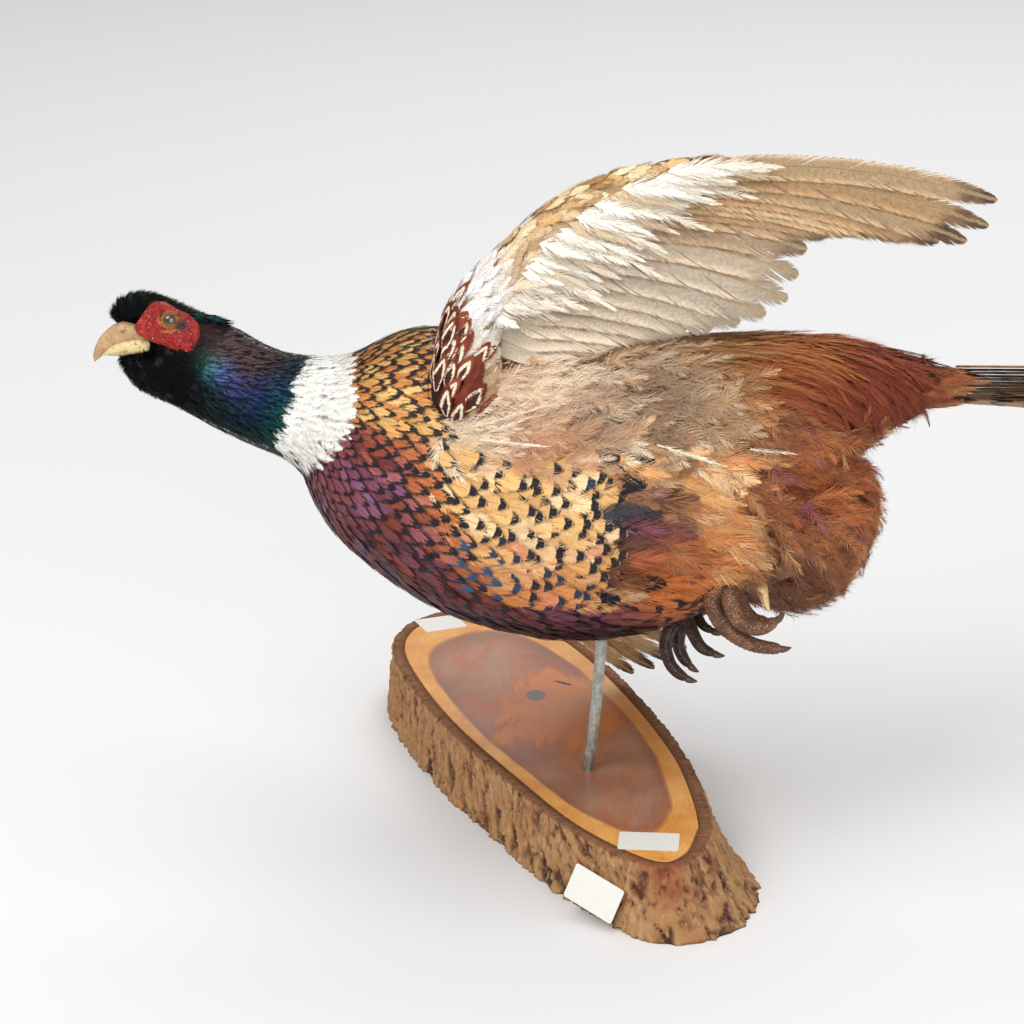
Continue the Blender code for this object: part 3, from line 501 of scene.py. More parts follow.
def thinned(points, spacing):
    """Places in the list of points that are each at least this far from every one before."""
    cells, kept, reach = {}, [], spacing * spacing
    around = [(a, b, c) for a in (-1, 0, 1) for b in (-1, 0, 1) for c in (-1, 0, 1)]
    keys = np.floor(points / spacing).astype(int).tolist()
    for i, ((a, b, c), (x, y, z)) in enumerate(zip(keys, points.tolist())):
        close = (other for da, db, dc in around for other in cells.get((a + da, b + db, c + dc), ()))
        if all((x - u) ** 2 + (y - v) ** 2 + (z - w) ** 2 >= reach for u, v, w in close):
            cells.setdefault((a, b, c), []).append((x, y, z))
            kept.append(i)
    return np.array(kept, int)


# Feathers


class Coat:
    """Collects the feathers of one piece of the coat."""

    def __init__(self, name, slot):
        self.name, self.slot, self.count = name, slot, 0
        self.rows = {word: [] for word in ("points", "triangles", "quads", "vane", "bake", "Base", "Mark",
                                           "Kind")}

    def add(self, points, triangles, quads, vane, roots, base, mark, kind, rim=1.0):
        """points (n, m, 3) of n like feathers in the bird's frame, whose faces count from 0 to m - 1."""
        n, m = points.shape[:2]
        first = self.count + np.arange(n)[:, None, None] * m
        for word, faces in (("triangles", triangles), ("quads", quads)):
            if faces is not None:
                self.rows[word].append((first + faces[None]).reshape(-1, faces.shape[1]))
        vane = np.broadcast_to(vane, (n, m, 2))
        self.rows["points"].append(points.reshape(-1, 3))
        self.rows["vane"].append(vane.reshape(-1, 2))
        self.rows["bake"].append((roots[:, None] + (np.clip(vane, 0, 1) - 0.5) * BAKE_PATCH).reshape(-1, 2))
        for word, values in (("Base", tint(base)), ("Mark", tint(mark)), ("Kind", kind)):
            self.rows[word].append(np.repeat(np.broadcast_to(values, (n, 3)), m, axis=0))
        self.rows["Kind"][-1] = np.hstack([self.rows["Kind"][-1],
                                           np.broadcast_to(rim, (n, m)).reshape(-1, 1)])
        self.count += n * m

    def build(self, material, *replaced):
        """The pieces, each under the limit of triangles, split by feathers in their order."""
        rows = {word: np.concatenate(parts) for word, parts in self.rows.items() if parts}
        faces = [rows.pop(word) for word in ("triangles", "quads") if word in rows]
        points, vane, bake = to_world(rows.pop("points")), rows.pop("vane"), rows.pop("bake")
        parts = int(np.ceil(sum(len(own) * (own.shape[1] - 2) for own in faces) / MOST_TRIANGLES))
        edges = np.linspace(0, len(points), parts + 1).astype(int)
        for k, (low, high) in enumerate(zip(edges, edges[1:])):
            own = [part[(part[:, 0] >= low) & (part[:, 0] < high)] for part in faces]
            used = np.unique(np.concatenate([part.ravel() for part in own]))
            own = [np.searchsorted(used, part) for part in own]
            mesh = make_mesh(self.name, points[used], own[0], own[1] if len(own) > 1 else None,
                             {"Vane": vane[used], "OFBake": bake[used]},
                             {word: values[used] for word, values in rows.items()})
            label = self.name if parts == 1 else f"{self.name}_{k + 1}"
            fit(place(label, mesh, material), self.slot, *(replaced if k == 0 else ()))


# The build of one kind of feather. angles are from the quill in degrees, at the root and the tip
Look = namedtuple(
    "Look", "barbs segments angles barb_width bend camber splay stray twist clump quill bare outline ragged",
    defaults=(0.02, 4.0, 0.3, 0.0, 0.25, 0.04, None, 0.06))


def oval_outline(t):
    """Share of the half width along a feather that is widest past its middle and ends round."""
    return np.clip(0.30 + 1.3 * t, 0, 1) * np.sqrt(np.clip(1 - t, 0, 1) * 2.6).clip(0, 1)


def slim_outline(t):
    return np.clip(0.5 + 1.6 * t, 0, 1) * np.clip((1 - t) * 1.7, 0, 1) ** 0.7


def along_path(rows, t):
    """Rows (n, k, 3) read at shares t (n, b) of their length."""
    n, k = rows.shape[:2]
    at = np.clip(t, 0, 1) * (k - 1)
    low = np.minimum(at.astype(int), k - 2)
    share = (at - low)[..., None]
    which = np.arange(n)[:, None]
    return rows[which, low] * (1 - share) + rows[which, low + 1] * share


def barb_reach(start, angle, width, outline):
    """Length of barbs, as a share of the feather's, that start and lean like this and end on its outline."""
    low, high = np.zeros_like(start), np.full_like(start, 1.2)
    for step in range(14):
        middle = (low + high) / 2
        inside = middle * np.sin(angle) < width * outline(np.minimum(start + middle * np.cos(angle), 1.0))
        low, high = np.where(inside, middle, low), np.where(inside, high, middle)
    return low


BARB_CROWD, BARB_TAPER = 0.95, 0.35


def feathers(coat, path, up, width, look, rng, roots, base, mark=PLAIN, kind=PLAIN, sides=(1.0, 1.0),
             visible=None):
    """Adds feathers of separate barbs along these quills; path and up are (n, k, 3), width the half widths.

    sides multiplies that width to the quill's left and right, and visible is the length that shows past the
    feathers over this one.
    """
    n, segments = len(path), look.segments
    ahead = unit(np.gradient(path, axis=1))
    side = unit(np.cross(up, ahead))
    over = np.cross(ahead, side)
    length = np.linalg.norm(np.diff(path, axis=1), axis=2).sum(1)[:, None]
    visible = length if visible is None else np.broadcast_to(np.asarray(visible, float), (n,))[:, None]
    t = look.bare + (1 - look.bare) * np.linspace(0, 1, look.barbs) ** BARB_CROWD
    t = t[None] + rng.uniform(-0.4, 0.4, (n, look.barbs)) * (1 - look.bare) / look.barbs
    t = np.clip(t, 0, 0.995)
    centre, forth = along_path(path, t), unit(along_path(ahead, t))
    cross, rise = unit(along_path(side, t)), unit(along_path(over, t))
    clumps = np.repeat(rng.normal(size=(n, look.barbs // 5 + 1)), 5, axis=1)[:, :look.barbs]
    halves = []
    for way, part in zip((-1, 1), sides):
        half_width = np.broadcast_to(np.asarray(width, float) * part, (n,))[:, None]
        angle = np.interp(t, (0, 1), look.angles) + rng.normal(size=t.shape) * look.stray
        angle = radians(1) * np.clip(angle + clumps * look.clump, 4, 85)
        bend = look.bend * rng.uniform(0.7, 1.3, t.shape)
        reach = barb_reach(t, angle * (1 - bend / 2), half_width / length,
                           look.outline or oval_outline) * length
        reach = reach * (1 - look.ragged * rng.random(t.shape) ** 2)
        lift = rng.normal(size=t.shape) * look.splay
        tilt = rng.normal(size=t.shape) * look.twist
        out, on, rows = np.zeros_like(t), np.zeros_like(t), []
        for r in range(segments + 1):
            share = r / segments
            bent = angle * (1 - bend * share)
            if r:
                out = out + reach / segments * np.sin(bent)
                on = on + reach / segments * np.cos(bent)
            height = -look.camber * out ** 2 / np.maximum(half_width, 0.1) + lift * reach * share ** 2
            middle = centre + forth * on[..., None] + cross * (way * out)[..., None]
            middle = middle + rise * height[..., None]
            vane = columns(0.5 + 0.5 * way * out / np.maximum(half_width, 0.1),
                           1 - ((1 - t) * length - on) / visible)
            flat = forth * np.sin(bent)[..., None] - cross * (way * np.cos(bent))[..., None]
            half_barb = look.barb_width * 0.5 * (1 - BARB_TAPER * share) * way
            flat = unit(flat + rise * tilt[..., None]) * half_barb
            for edge in (middle - flat, middle + flat) if r < segments else (middle,):
                rows.append(np.concatenate([edge, vane, (reach * (1 - share) / visible)[..., None]], -1))
        halves.append(np.stack(rows, 2))
    found = np.stack(halves, 1).reshape(n, -1, 6)
    per = 2 * segments + 1
    start = np.arange(2 * look.barbs)[:, None] * per
    quads = [start + np.array((2 * r, 2 * r + 1, 2 * r + 3, 2 * r + 2)) for r in range(segments - 1)]
    coat.add(found[..., :3], start + np.array((per - 3, per - 2, per - 1)),
             np.concatenate(quads) if quads else None,
             found[..., 3:5], roots, base, mark, kind, found[..., 5])
    if look.quill:
        quills(coat, path, side, over, look.quill, roots, base, mark, kind)


def quills(coat, path, side, over, thick, roots, base, mark, kind):
    """Adds a three-sided tapering quill along each path."""
    n, k = path.shape[:2]
    shares = np.linspace(0, 1, k)
    taper = (thick * (1 - 0.85 * shares))[None, :, None]
    points = np.stack([path + over * taper * 0.7, path - side * taper * 0.5, path + side * taper * 0.5], 2)
    quads = [(3 * j + a, 3 * j + b, 3 * j + 3 + b, 3 * j + 3 + a)
             for j in range(k - 1) for a, b in ((0, 1), (1, 2), (2, 0))]
    ends = np.array(((0, 2, 1), (3 * k - 3, 3 * k - 2, 3 * k - 1)))
    vane = np.repeat(columns(0.5, shares), 3, axis=0)
    coat.add(points.reshape(n, -1, 3), ends, np.array(quads), vane[None], roots, base, mark, kind)


def varied(rng, count, colour, vary, *others):
    """A colour for each feather, drawn round these ones."""
    choices = np.array([tint(own) for own in (colour, *others)])
    picked = choices[rng.integers(0, len(choices), count)]
    return np.clip(picked * np.exp(rng.normal(size=(count, 1)) * vary), 0, 1)


# Places on the bird

WATTLE_OUTLINE = (
    (-219, 79.5), (-214, 87), (-210.5, 91.3), (-205, 92.3), (-197, 88), (-191, 85), (-187, 79.5),
    (-187.5, 72), (-190.5, 66.8), (-199, 67.5), (-207, 71.5), (-216, 75.5),
)
BILL_BASE = np.array((-226.0, 0.0, 73.0))
GUIDES = (                   # x, z, and the lie of the feathers there along x and z
    (-185, 70, 0.95, -0.32), (-150, 50, 0.95, -0.32), (-122, 42, 0.96, -0.22), (-95, 62, 0.95, 0.30),
    (-80, 40, 0.97, 0.12), (-105, 10, 0.95, -0.28), (-95, -25, 0.80, -0.60), (-60, -5, 1.0, -0.10),
    (-60, -50, 0.92, -0.38), (-25, -15, 1.0, 0.05), (-10, -60, 1.0, -0.08), (-20, 30, 1.0, 0.08),
    (-10, 70, 1.0, 0.0), (35, 20, 0.97, -0.12), (40, -20, 0.97, -0.20), (45, -50, 0.95, 0.20),
    (40, 60, 0.95, -0.25), (75, 72, 1.0, -0.05), (85, 50, 0.80, -0.60), (115, 45, 0.66, -0.75),
    (140, 48, 0.66, -0.75), (165, 52, 0.90, -0.43), (90, 5, 0.96, -0.22), (120, 8, 0.97, 0.15),
    (125, -30, 0.80, -0.60), (100, -52, 0.55, -0.83), (75, -30, 0.50, -0.86),
)
GUIDE_REACH = 20.0


def side_guides(points):
    """The lie of the body's feathers at these places, before it is laid flat on the skin."""
    x, z, along, up = np.array(GUIDES, float).T
    away = (points[:, None, 0] - x) ** 2 + (points[:, None, 2] - z) ** 2
    weight = np.exp(-away / (2 * GUIDE_REACH ** 2)) + 1e-9
    lie = unit(columns((weight * along).sum(1), 0, (weight * up).sum(1)))
    face = unit(points - BILL_BASE)
    face_share = smooth_step(points[:, 0], -184, -204)[:, None]
    return unit(lie * (1 - face_share) + face * face_share)


def neck_place(points):
    """x of the point on the throat's slanted sections, read at the white ring's height."""
    return points[:, 0] - 0.37 * (points[:, 2] - 66.5)


def inside_outline(x, z, outline, shrink=0.0):
    """Whether these places lie in the closed outline, drawn in by this much."""
    outline = np.array(outline, float)
    middle = outline.mean(0)
    outline = middle + (outline - middle) * (1 - shrink)
    inside = np.zeros(len(x), bool)
    for (ax, az), (bx, bz) in zip(outline, np.roll(outline, -1, axis=0)):
        crosses = (az > z) != (bz > z)
        at = ax + (z - az) * (bx - ax) / (bz - az if bz != az else 1e-9)
        inside ^= crosses & (x < at)
    return inside


def bare_face(points):
    """Where the head has no feathers: under the bill, the red skin and the eye."""
    x, y, z = points.T
    red = inside_outline(x, z, WATTLE_OUTLINE, 0.06) & (np.abs(y) > 5)
    edge = np.interp(z, (65.5, 67.4, 68.8, 72.3, 74.7, 77, 83.4),
                     (-227, -220, -214, -208.5, -214, -218.5, -223))
    return red | ((x < edge) & (z > 65.5) & (z < 83.5))


def near(points, *spots):
    """Round spots on the side of the bird, each as x, z, reach and, where it isn't 1, its strength."""
    total = 0.0
    for x, z, reach, *strength in spots:
        own = np.exp(-((points[:, 0] - x) ** 2 + (points[:, 2] - z) ** 2) / (2 * reach ** 2))
        total = total + own * (strength[0] if strength else 1.0)
    return total


def blend(base, colour, share):
    return tint(base) * (1 - share[:, None]) + tint(colour) * share[:, None]


def layered(base, *over):
    """base with these colours over it, each with its share."""
    for colour, share in over:
        base = blend(base, colour, share)
    return base


def least(*scores):
    return np.minimum.reduce(np.broadcast_arrays(*scores))


# Where each tract of the body's plumage lies, as a score that is above 0 inside it


def ring_back(z):
    """The white ring's rear edge on the throat's slanted sections, at these heights."""
    return np.interp(z, (10, 22, 40, 60, 68), (-106, -99, -99, -110, -117))


def ring_score(points):
    at = neck_place(points) + 2.0 * wave_noise(points, 12.0, 3)
    low = points[:, 2] - np.interp(points[:, 0], (-155, -123), (25, 15)) + 1.5 * wave_noise(points, 9.0, 4)
    return least(2 * (at + 131.5), 2 * (ring_back(points[:, 2]) - at), 4 * low)


def mantle_edge(points):
    """Height above the line between mantle and breast."""
    edge = np.interp(points[:, 0], (-115, -90, -70), (30, 25, 18))
    return points[:, 2] - edge + 1.2 * wave_noise(points, 12, 5)


def back_of_neck(points):
    return neck_place(points) - ring_back(points[:, 2]) + 1


def mantle_score(points):
    ahead = -64 - 0.28 * np.maximum(0, points[:, 2] - 60) - points[:, 0]
    return least(back_of_neck(points), mantle_edge(points), ahead)


def flank_line(points):
    """Distance behind the line where the breast's copper turns to the flank's gold."""
    return points[:, 0] - np.interp(points[:, 2], (-50, -30, -10, 20), (-38, -52, -63, -72)) \
        + 3.0 * wave_noise(points, 15.0, 8)


def belly_edge(points):
    """Depth below the line between the sides and the belly."""
    line = np.interp(points[:, 0], (-90, -60, -30, 10, 50), (-20, -45, -52, -52, -44))
    return line - points[:, 2] + 2.0 * wave_noise(points, 15.0, 9)


def breast_score(points):
    return least(back_of_neck(points), -mantle_edge(points), -flank_line(points), 4 - belly_edge(points))


def flank_top(points):
    return np.interp(points[:, 0], (-70, -20, 10, 60), (19, 14, 17, 16))


def flank_score(points):
    return least(flank_line(points), flank_top(points) - points[:, 2] + 1.5 * wave_noise(points, 14, 12),
                 18 - points[:, 0], 2 - belly_edge(points))


def belly_score(points):
    return least(belly_edge(points), 62 - points[:, 0])


def rump_line(points):
    """Distance above and behind the line where the side's down turns to the rump's long plumes."""
    line = np.interp(points[:, 0], (-40, 20, 54, 83, 102, 131, 175), (74, 71, 62, 44, 31, 24, 24))
    return points[:, 2] - line + 2.0 * wave_noise(points, 16, 14)


def rump_score(points):
    return least(rump_line(points), points[:, 0] + 12)


def back_score(points):
    x, z = points.T[::2]
    above = z - np.interp(x, (-70, -55, -40, 0), (22, 42, 60, 70))
    return least(x + 64 + 0.28 * np.maximum(0, z - 60), above, -8 - x)


def rear_score(points):
    """The loose buff feathers between the flank and the vent."""
    x, z = points.T[::2]
    return least(x - 2, flank_top(points) + 3 - z, 96 - x, 4 - belly_edge(points))


def vent_score(points):
    return least(points[:, 0] - 74, -rump_line(points) + 4)


def side_score(points):
    """The down under the wing."""
    x, z = points.T[::2]
    return least(z - flank_top(points) + 4, -rump_line(points), x + 62, 105 - x)


# Colours of the body's plumage, each a function of the roots that gives Base, Mark and Kind

INK = srgb(26, 20, 30)
COPPER, MAROON = srgb(158, 76, 44), srgb(116, 46, 44)
MAUVE, VIOLET_SHEEN = srgb(124, 62, 70), srgb(148, 108, 158)
GOLD, PALE_GOLD, ORANGE = srgb(222, 174, 110), srgb(238, 206, 156), srgb(204, 122, 60)
BLUE, TEAL, GREEN = srgb(66, 104, 140), srgb(28, 104, 106), srgb(36, 88, 58)
CHESTNUT, DARK_BROWN, CREAM = srgb(128, 50, 26), srgb(52, 28, 20), srgb(232, 218, 192)
OLIVE, RUST, DEEP_RUST = srgb(152, 114, 68), srgb(164, 82, 40), srgb(128, 52, 32)
DOWN, GREY_DOWN, PALE_DOWN = srgb(220, 182, 142), srgb(172, 138, 110), srgb(250, 230, 202)


def setting(name):
    """A colour that the user may change in the sidebar."""
    return np.array(getattr(bpy.context.scene.pheasant_plumage, name))


def breast_colours(points, rng):
    n, copper, low = len(points), setting("copper"), smooth_step(belly_edge(points), -16, 2)
    # The violet patches are painted sheen where light catches the breast's scales.
    violet = near(points, (-104, -4, 10), (-86, -16, 8, 0.8), (-62, -30, 8, 0.5))
    base = layered(varied(rng, n, copper, 0.14, MAROON, copper * 1.15),
                   (MAUVE, smooth_step(points[:, 0], -92, -116) * 0.7),
                   (VIOLET_SHEEN, np.clip(0.55 * violet + rng.normal(size=n) * 0.22, 0, 0.8)),
                   (ORANGE, smooth_step(flank_line(points), -20, -2) * 0.8), (MAROON * 0.8, low * 0.7))
    blue = rng.random(n) < 0.2 * low + near(points, (-50, -38, 10, 0.5))
    kind = columns(0.72 + 0.28 * smooth_step(points[:, 0], -118, -98), 0, 0)
    return base, blend(INK, BLUE * 0.7, blue * 0.8), kind


def flank_colours(points, rng):
    n = len(points)
    base = layered(varied(rng, n, setting("gold"), 0.08, PALE_GOLD, setting("gold") * 1.05),
                   (ORANGE, smooth_step(points[:, 2], -18, -46) * 0.8),
                   ((214, 128, 96), (rng.random(n) < 0.06) * 0.7))
    blue = near(points, (-50, -38, 9), (-10, -48, 8, 0.4)) + (rng.random(n) < 0.08) * 0.3
    fringe = smooth_step(flank_line(points), 14, 0)
    kind = columns(np.maximum(0.8 * fringe, 0.24), fringe < 0.6, 0)
    return base, blend(INK, BLUE * 0.6, np.clip(blue, 0, 0.9)), kind


def belly_colours(points, rng):
    n = len(points)
    # The purple patches are painted violet sheen on the belly.
    purple_sheen = near(points, (-5, -55, 14), (25, -52, 12, 0.8))
    base = layered(varied(rng, n, (104, 42, 34), 0.2, (120, 54, 46), (66, 34, 38)),
                   ((128, 70, 92), np.clip(purple_sheen + rng.normal(size=n) * 0.25, 0, 0.7)),
                   (ORANGE, np.clip(near(points, (42, -42, 13, 1.3)), 0, 0.95)),
                   (INK, smooth_step(points[:, 2], -56, -68) * 0.75))
    mark = blend(INK, BLUE * 0.5, rng.random(n) < 0.10)
    return base, mark, columns((rng.random(n) < 0.55) * 0.8, rng.random(n) < 0.25, 0)


def mantle_colours(points, rng):
    n = len(points)
    base = varied(rng, n, (212, 156, 84), 0.1, (226, 178, 108), (200, 130, 66))
    rusty = smooth_step(back_of_neck(points), 6, 0) * 0.5 + (rng.random(n) < 0.12) * 0.5
    green = smooth_step(points[:, 2], 66, 76) * smooth_step(points[:, 0], -70, -84) * 0.4 \
        + 0.9 * smooth_step(back_of_neck(points), 4, 0)
    mark = blend((30, 22, 20), GREEN * 0.6, rng.random(n) < green)
    base = layered(base, ((164, 84, 44), np.clip(rusty, 0, 0.8)),
                   (TEAL * 0.5, (rng.random(n) < 0.35 * green) * 0.85))
    return base, mark, (1.0, 0.0, 0.0)


def back_colours(points, rng):
    base = varied(rng, len(points), setting("chestnut"), 0.14, CHESTNUT * 0.8, DARK_BROWN * 1.6)
    return base, CREAM, (0.0, 0.0, 1.0)


def rump_colours(points, rng):
    n = len(points)
    deep = smooth_step(points[:, 0], 88, 112) * smooth_step(points[:, 2], 74, 58)
    high = near(points, (10, 72, 26, 0.7)) * smooth_step(points[:, 2], 66, 74)
    base = layered(varied(rng, n, setting("olive"), 0.16, (146, 104, 60), (176, 136, 84)),
                   (RUST, smooth_step(points[:, 0] + 6 * wave_noise(points, 25, 31), 55, 95) * 0.85),
                   (varied(rng, n, DEEP_RUST, 0.14, (142, 66, 42), (112, 46, 34)), deep * 0.9),
                   ((190, 118, 56), np.clip(near(points, (106, 64, 9)), 0, 0.7)),
                   ((96, 68, 46), np.clip(high, 0, 0.6)))
    return base, (70, 44, 28), PLAIN


def side_colours(points, rng):
    base = layered(varied(rng, len(points), DOWN, 0.12, GREY_DOWN, PALE_DOWN, DOWN),
                   (GREY_DOWN * 0.8, np.clip(near(points, (40, 44, 12), (0, 36, 9)), 0, 0.85)),
                   (PALE_DOWN, np.clip(near(points, (-46, 38, 15, 1.5), (-14, 50, 14, 0.9)), 0, 0.95)),
                   (ORANGE, np.clip(near(points, (-20, 20, 12, 0.8), (-40, 66, 10, 0.5)), 0, 0.5)),
                   ((176, 134, 84), smooth_step(points[:, 0], 40, 70) * 0.6))
    return base, GREY_DOWN, PLAIN


def rear_colours(points, rng):
    n = len(points)
    rusty = smooth_step(points[:, 0] + 6 * wave_noise(points, 18, 33), 66, 92)
    base = layered(varied(rng, n, (224, 166, 104), 0.08, (238, 198, 144), (212, 142, 84)),
                   (varied(rng, n, (50, 32, 32), 0.2, (50, 52, 58), (96, 52, 66)),
                    np.clip(near(points, (26, -24, 15, 2.0)), 0, 1)),
                   ((196, 108, 50), np.clip(near(points, (42, -42, 13, 1.4)), 0, 0.95)),
                   ((168, 98, 62), rusty * 0.7))
    return base, INK, columns(0, (rng.random(n) < 0.22) * smooth_step(points[:, 0], 60, 30), 0)


def vent_colours(points, rng):
    n = len(points)
    rust = np.clip(near(points, (114, 12, 14), (128, -4, 12), (96, -12, 16, 0.6)), 0, 1)
    base = layered(varied(rng, n, (184, 124, 80), 0.14, (206, 160, 112), (150, 96, 64)),
                   (varied(rng, n, (166, 86, 44), 0.12, (144, 68, 38), (196, 118, 66)), rust * 0.85),
                   ((150, 84, 100), (rng.random(n) < 0.10) * 0.7),
                   ((92, 60, 46), np.clip(near(points, (100, -48, 13)), 0, 0.7)))
    return base, (60, 40, 34), PLAIN


NECK_SHEEN_PATCHES = (             # painted iridescent sheen on the black neck: x, z, reach, colour and strength
    (-182, 64, 4.0, srgb(30, 96, 66), 0.9), (-178, 60, 4.5, srgb(60, 150, 150), 0.9),
    (-173, 57, 4.6, srgb(92, 104, 186), 0.85), (-166, 50, 4.2, srgb(86, 84, 170), 0.75),
    (-162, 44, 5.0, srgb(60, 66, 140), 0.65), (-152, 44, 8.5, srgb(36, 60, 118), 0.65),
    (-143, 52, 7, srgb(40, 60, 120), 0.5), (-138, 40, 9, TEAL, 0.6), (-146, 30, 9, srgb(24, 88, 70), 0.6),
    (-136, 28, 7, GREEN, 0.7), (-170, 44, 8, srgb(26, 60, 62), 0.6), (-130, 64, 7, GREEN, 0.8),
    (-178, 82, 5, srgb(36, 96, 104), 0.5),
)


def neck_colours(points, rng):
    """Black with painted iridescent sheen in patches of blue, teal, green and violet, and mauve-brown at the
    nape.
    """
    n = len(points)
    base = varied(rng, n, (13, 14, 18), 0.2, (20, 22, 28), (12, 16, 18))
    for x, z, reach, colour, share in NECK_SHEEN_PATCHES:
        patchy = near(points, (x, z, reach)) * (1 + 0.4 * rng.normal(size=n))
        base = blend(base, colour, np.clip(share * patchy, 0, share))
    mauve = near(points, (-176, 76, 8), (-164, 68, 9), (-150, 68, 10, 0.5))
    # The teal specks towards the head are painted sheen as well.
    return layered(base, ((92, 70, 70), np.clip(mauve, 0, 0.85)),
                   ((50, 92, 80), (rng.random(n) < 0.10) * smooth_step(points[:, 0], -188, -170) * 0.4))


def white_colours(points, rng):
    return varied(rng, len(points), (250, 249, 244), 0.015, (244, 242, 234))


# Skin and body plumage

GROWN = 0.0003               # closes the thin cuts between the solids before they are made one skin
VOXEL = 0.0024


def make_skin(material):
    """One closed skin for the body, a coat's depth inside the solids, and the surface to root on."""
    edit = bmesh.new()
    for name in FLESH:
        edit.from_mesh(NODES[name].data)
    bmesh.ops.remove_doubles(edit, verts=edit.verts, dist=1e-6)
    edit.normal_update()
    for vert in edit.verts:
        vert.co += vert.normal * GROWN
    mesh = bpy.data.meshes.new("skin")
    edit.to_mesh(mesh)
    skin = place("skin", mesh)
    remesh = skin.modifiers.new("whole", "REMESH")
    remesh.mode, remesh.voxel_size = "VOXEL", VOXEL
    smooth = skin.modifiers.new("smooth", "SMOOTH")
    smooth.factor, smooth.iterations = 0.5, 6
    mesh = solved(skin).data
    points = to_bird(read(mesh, "co"))
    points = points - (read(mesh, "normal") @ TURN) * coat_depth(points)[:, None]
    x, y, z = points.T
    points[:, 1] *= 1 - 0.55 * smooth_step(x, -205, -213) * smooth_step(z, 63, 67) * smooth_step(z, 86, 82)
    edit.clear()
    edit.from_mesh(mesh)
    bmesh.ops.triangulate(edit, faces=edit.faces)
    triangles = np.array([[v.index for v in face.verts] for face in edit.faces])
    edit.free()
    own = make_mesh("skin", to_world(points), triangles, None, {"OFBake": unwrapped(points)},
                    {"Base": skin_colours(points)})
    skin.data = own
    own.materials.append(material)
    return skin, Skin(points, triangles)


# One area of the body's plumage and the feathers that cover it, with lengths in millimetres. spacing is None
# for feathers in the body's staggered rows, where length and width count in the rows' own pitch. rise is the
# height of root and tip over the skin as shares of the coat's depth
Tract = namedtuple(
    "Tract",
    "name slot score colours spacing length width look rise loose sag astray stations finish leave fluff",
    defaults=((0.3, 1.0), 0.15, 0.0, 0.10, 5, "satin", 0.35, 0.0))
BODY_RINGS = (
    (168, 63.5, 163, 39, 15), (150, 68.5, 140, 27, 22), (126, 75, 120, 6, 33), (100, 77, 98, -24, 44),
    (70, 77, 70, -52, 53), (35, 76.5, 33, -68, 58), (0, 75.5, -4, -73, 60.5), (-32, 76, -38, -69, 60.5),
    (-58, 79, -70, -59, 58), (-80, 81.5, -97, -43, 53), (-96, 77, -119, -25, 46.5), (-107, 71, -131, -9, 40),
    (-117, 67, -138, 8, 34), (-131, 66.5, -149, 17, 28), (-146, 68, -163, 22.5, 24.5),
    (-158, 73, -179, 30, 21.5), (-168, 79, -192, 37, 19.5),
)
ROW_FEATHERS = 46            # round the body in one row
ROW_STEP = 0.60              # between rows, in the pitch across
FIRST_ROW, LAST_ROW = 13.6, 3.6


def staggered_rows(surface, rng):
    """Roots in rows round the body, each half a feather on from the last, with normals, lie and pitch."""
    rings = smooth_curve(BODY_RINGS, np.linspace(FIRST_ROW, LAST_ROW, 700))
    top, low = rings[:, :2], rings[:, 2:4]
    far = way_along((top + low) / 2)
    pitch = pi * (np.linalg.norm(top - low, axis=1) / 2 + rings[:, 4]) / ROW_FEATHERS
    at, row, found = 0.0, 0, []
    while at < far[-1] - 6:
        size = np.interp(at, far, pitch)
        turns = np.arange(ROW_FEATHERS) + 0.5 * (row % 2) + rng.normal(size=ROW_FEATHERS) * 0.07
        turns = turns * 2 * pi / ROW_FEATHERS
        c, v = np.cos(turns), np.sin(turns)
        level = at + rng.normal(size=ROW_FEATHERS) * 0.07 * size
        ends = []
        for ahead in (0.0, 4.0):
            x0, z0, x1, z1, wide = (np.interp(level + ahead, far, column) for column in rings.T)
            ends.append(columns((x0 + x1) / 2 + c * (x0 - x1) / 2, wide * v,
                                (z0 + z1) / 2 + c * (z0 - z1) / 2))
        found.append(np.hstack([ends[0], unit(ends[1] - ends[0]), np.full((ROW_FEATHERS, 1), size)]))
        at += size * ROW_STEP
        row += 1
    found = np.vstack(found)
    return *surface.nearest(found[:, :3]), found[:, 3:6], found[:, 6]


SCALE = Look(34, 2, (58, 20), 0.80, 0.25, 0.07, 0.012, 2.5, 0.10, 1.5, 0.30, 0.10, ragged=0.10)
BROAD = Look(46, 2, (58, 20), 0.86, 0.25, 0.06, 0.012, 2.5, 0.10, 2.0, 0.35, 0.10, ragged=0.14)
SILKY = Look(10, 1, (34, 12), 0.50, 0.2, 0.05, 0.05, 5.0, 0.3, 2.0, 0.0, outline=slim_outline, ragged=0.2)
PLUME = Look(38, 2, (26, 7), 0.30, 0.3, 0.05, 0.06, 4.0, 0.5, 4.0, 0.18, outline=slim_outline, ragged=0.5)
LOOSE = Look(36, 2, (62, 26), 0.26, 0.55, 0.10, 0.24, 10.0, 0.7, 7.0, 0.12, 0.02, ragged=0.55)
FAIR = Look(50, 2, (44, 14), 0.50, 0.3, 0.08, 0.04, 4.0, 0.3, 6.0, 0.25, 0.08, ragged=0.35)
SHORT_WHITE = Look(22, 1, (44, 14), 0.62, 0.2, 0.05, 0.02, 4.0, 0.15, 1.5, 0.0, ragged=0.15)


def head_score(points):
    """Ahead of the neck's own feathers."""
    return -180 - (points[:, 0] - 0.57 * (points[:, 2] - 58))


def neck_score(points):
    return -131 - neck_place(points) + 0.5


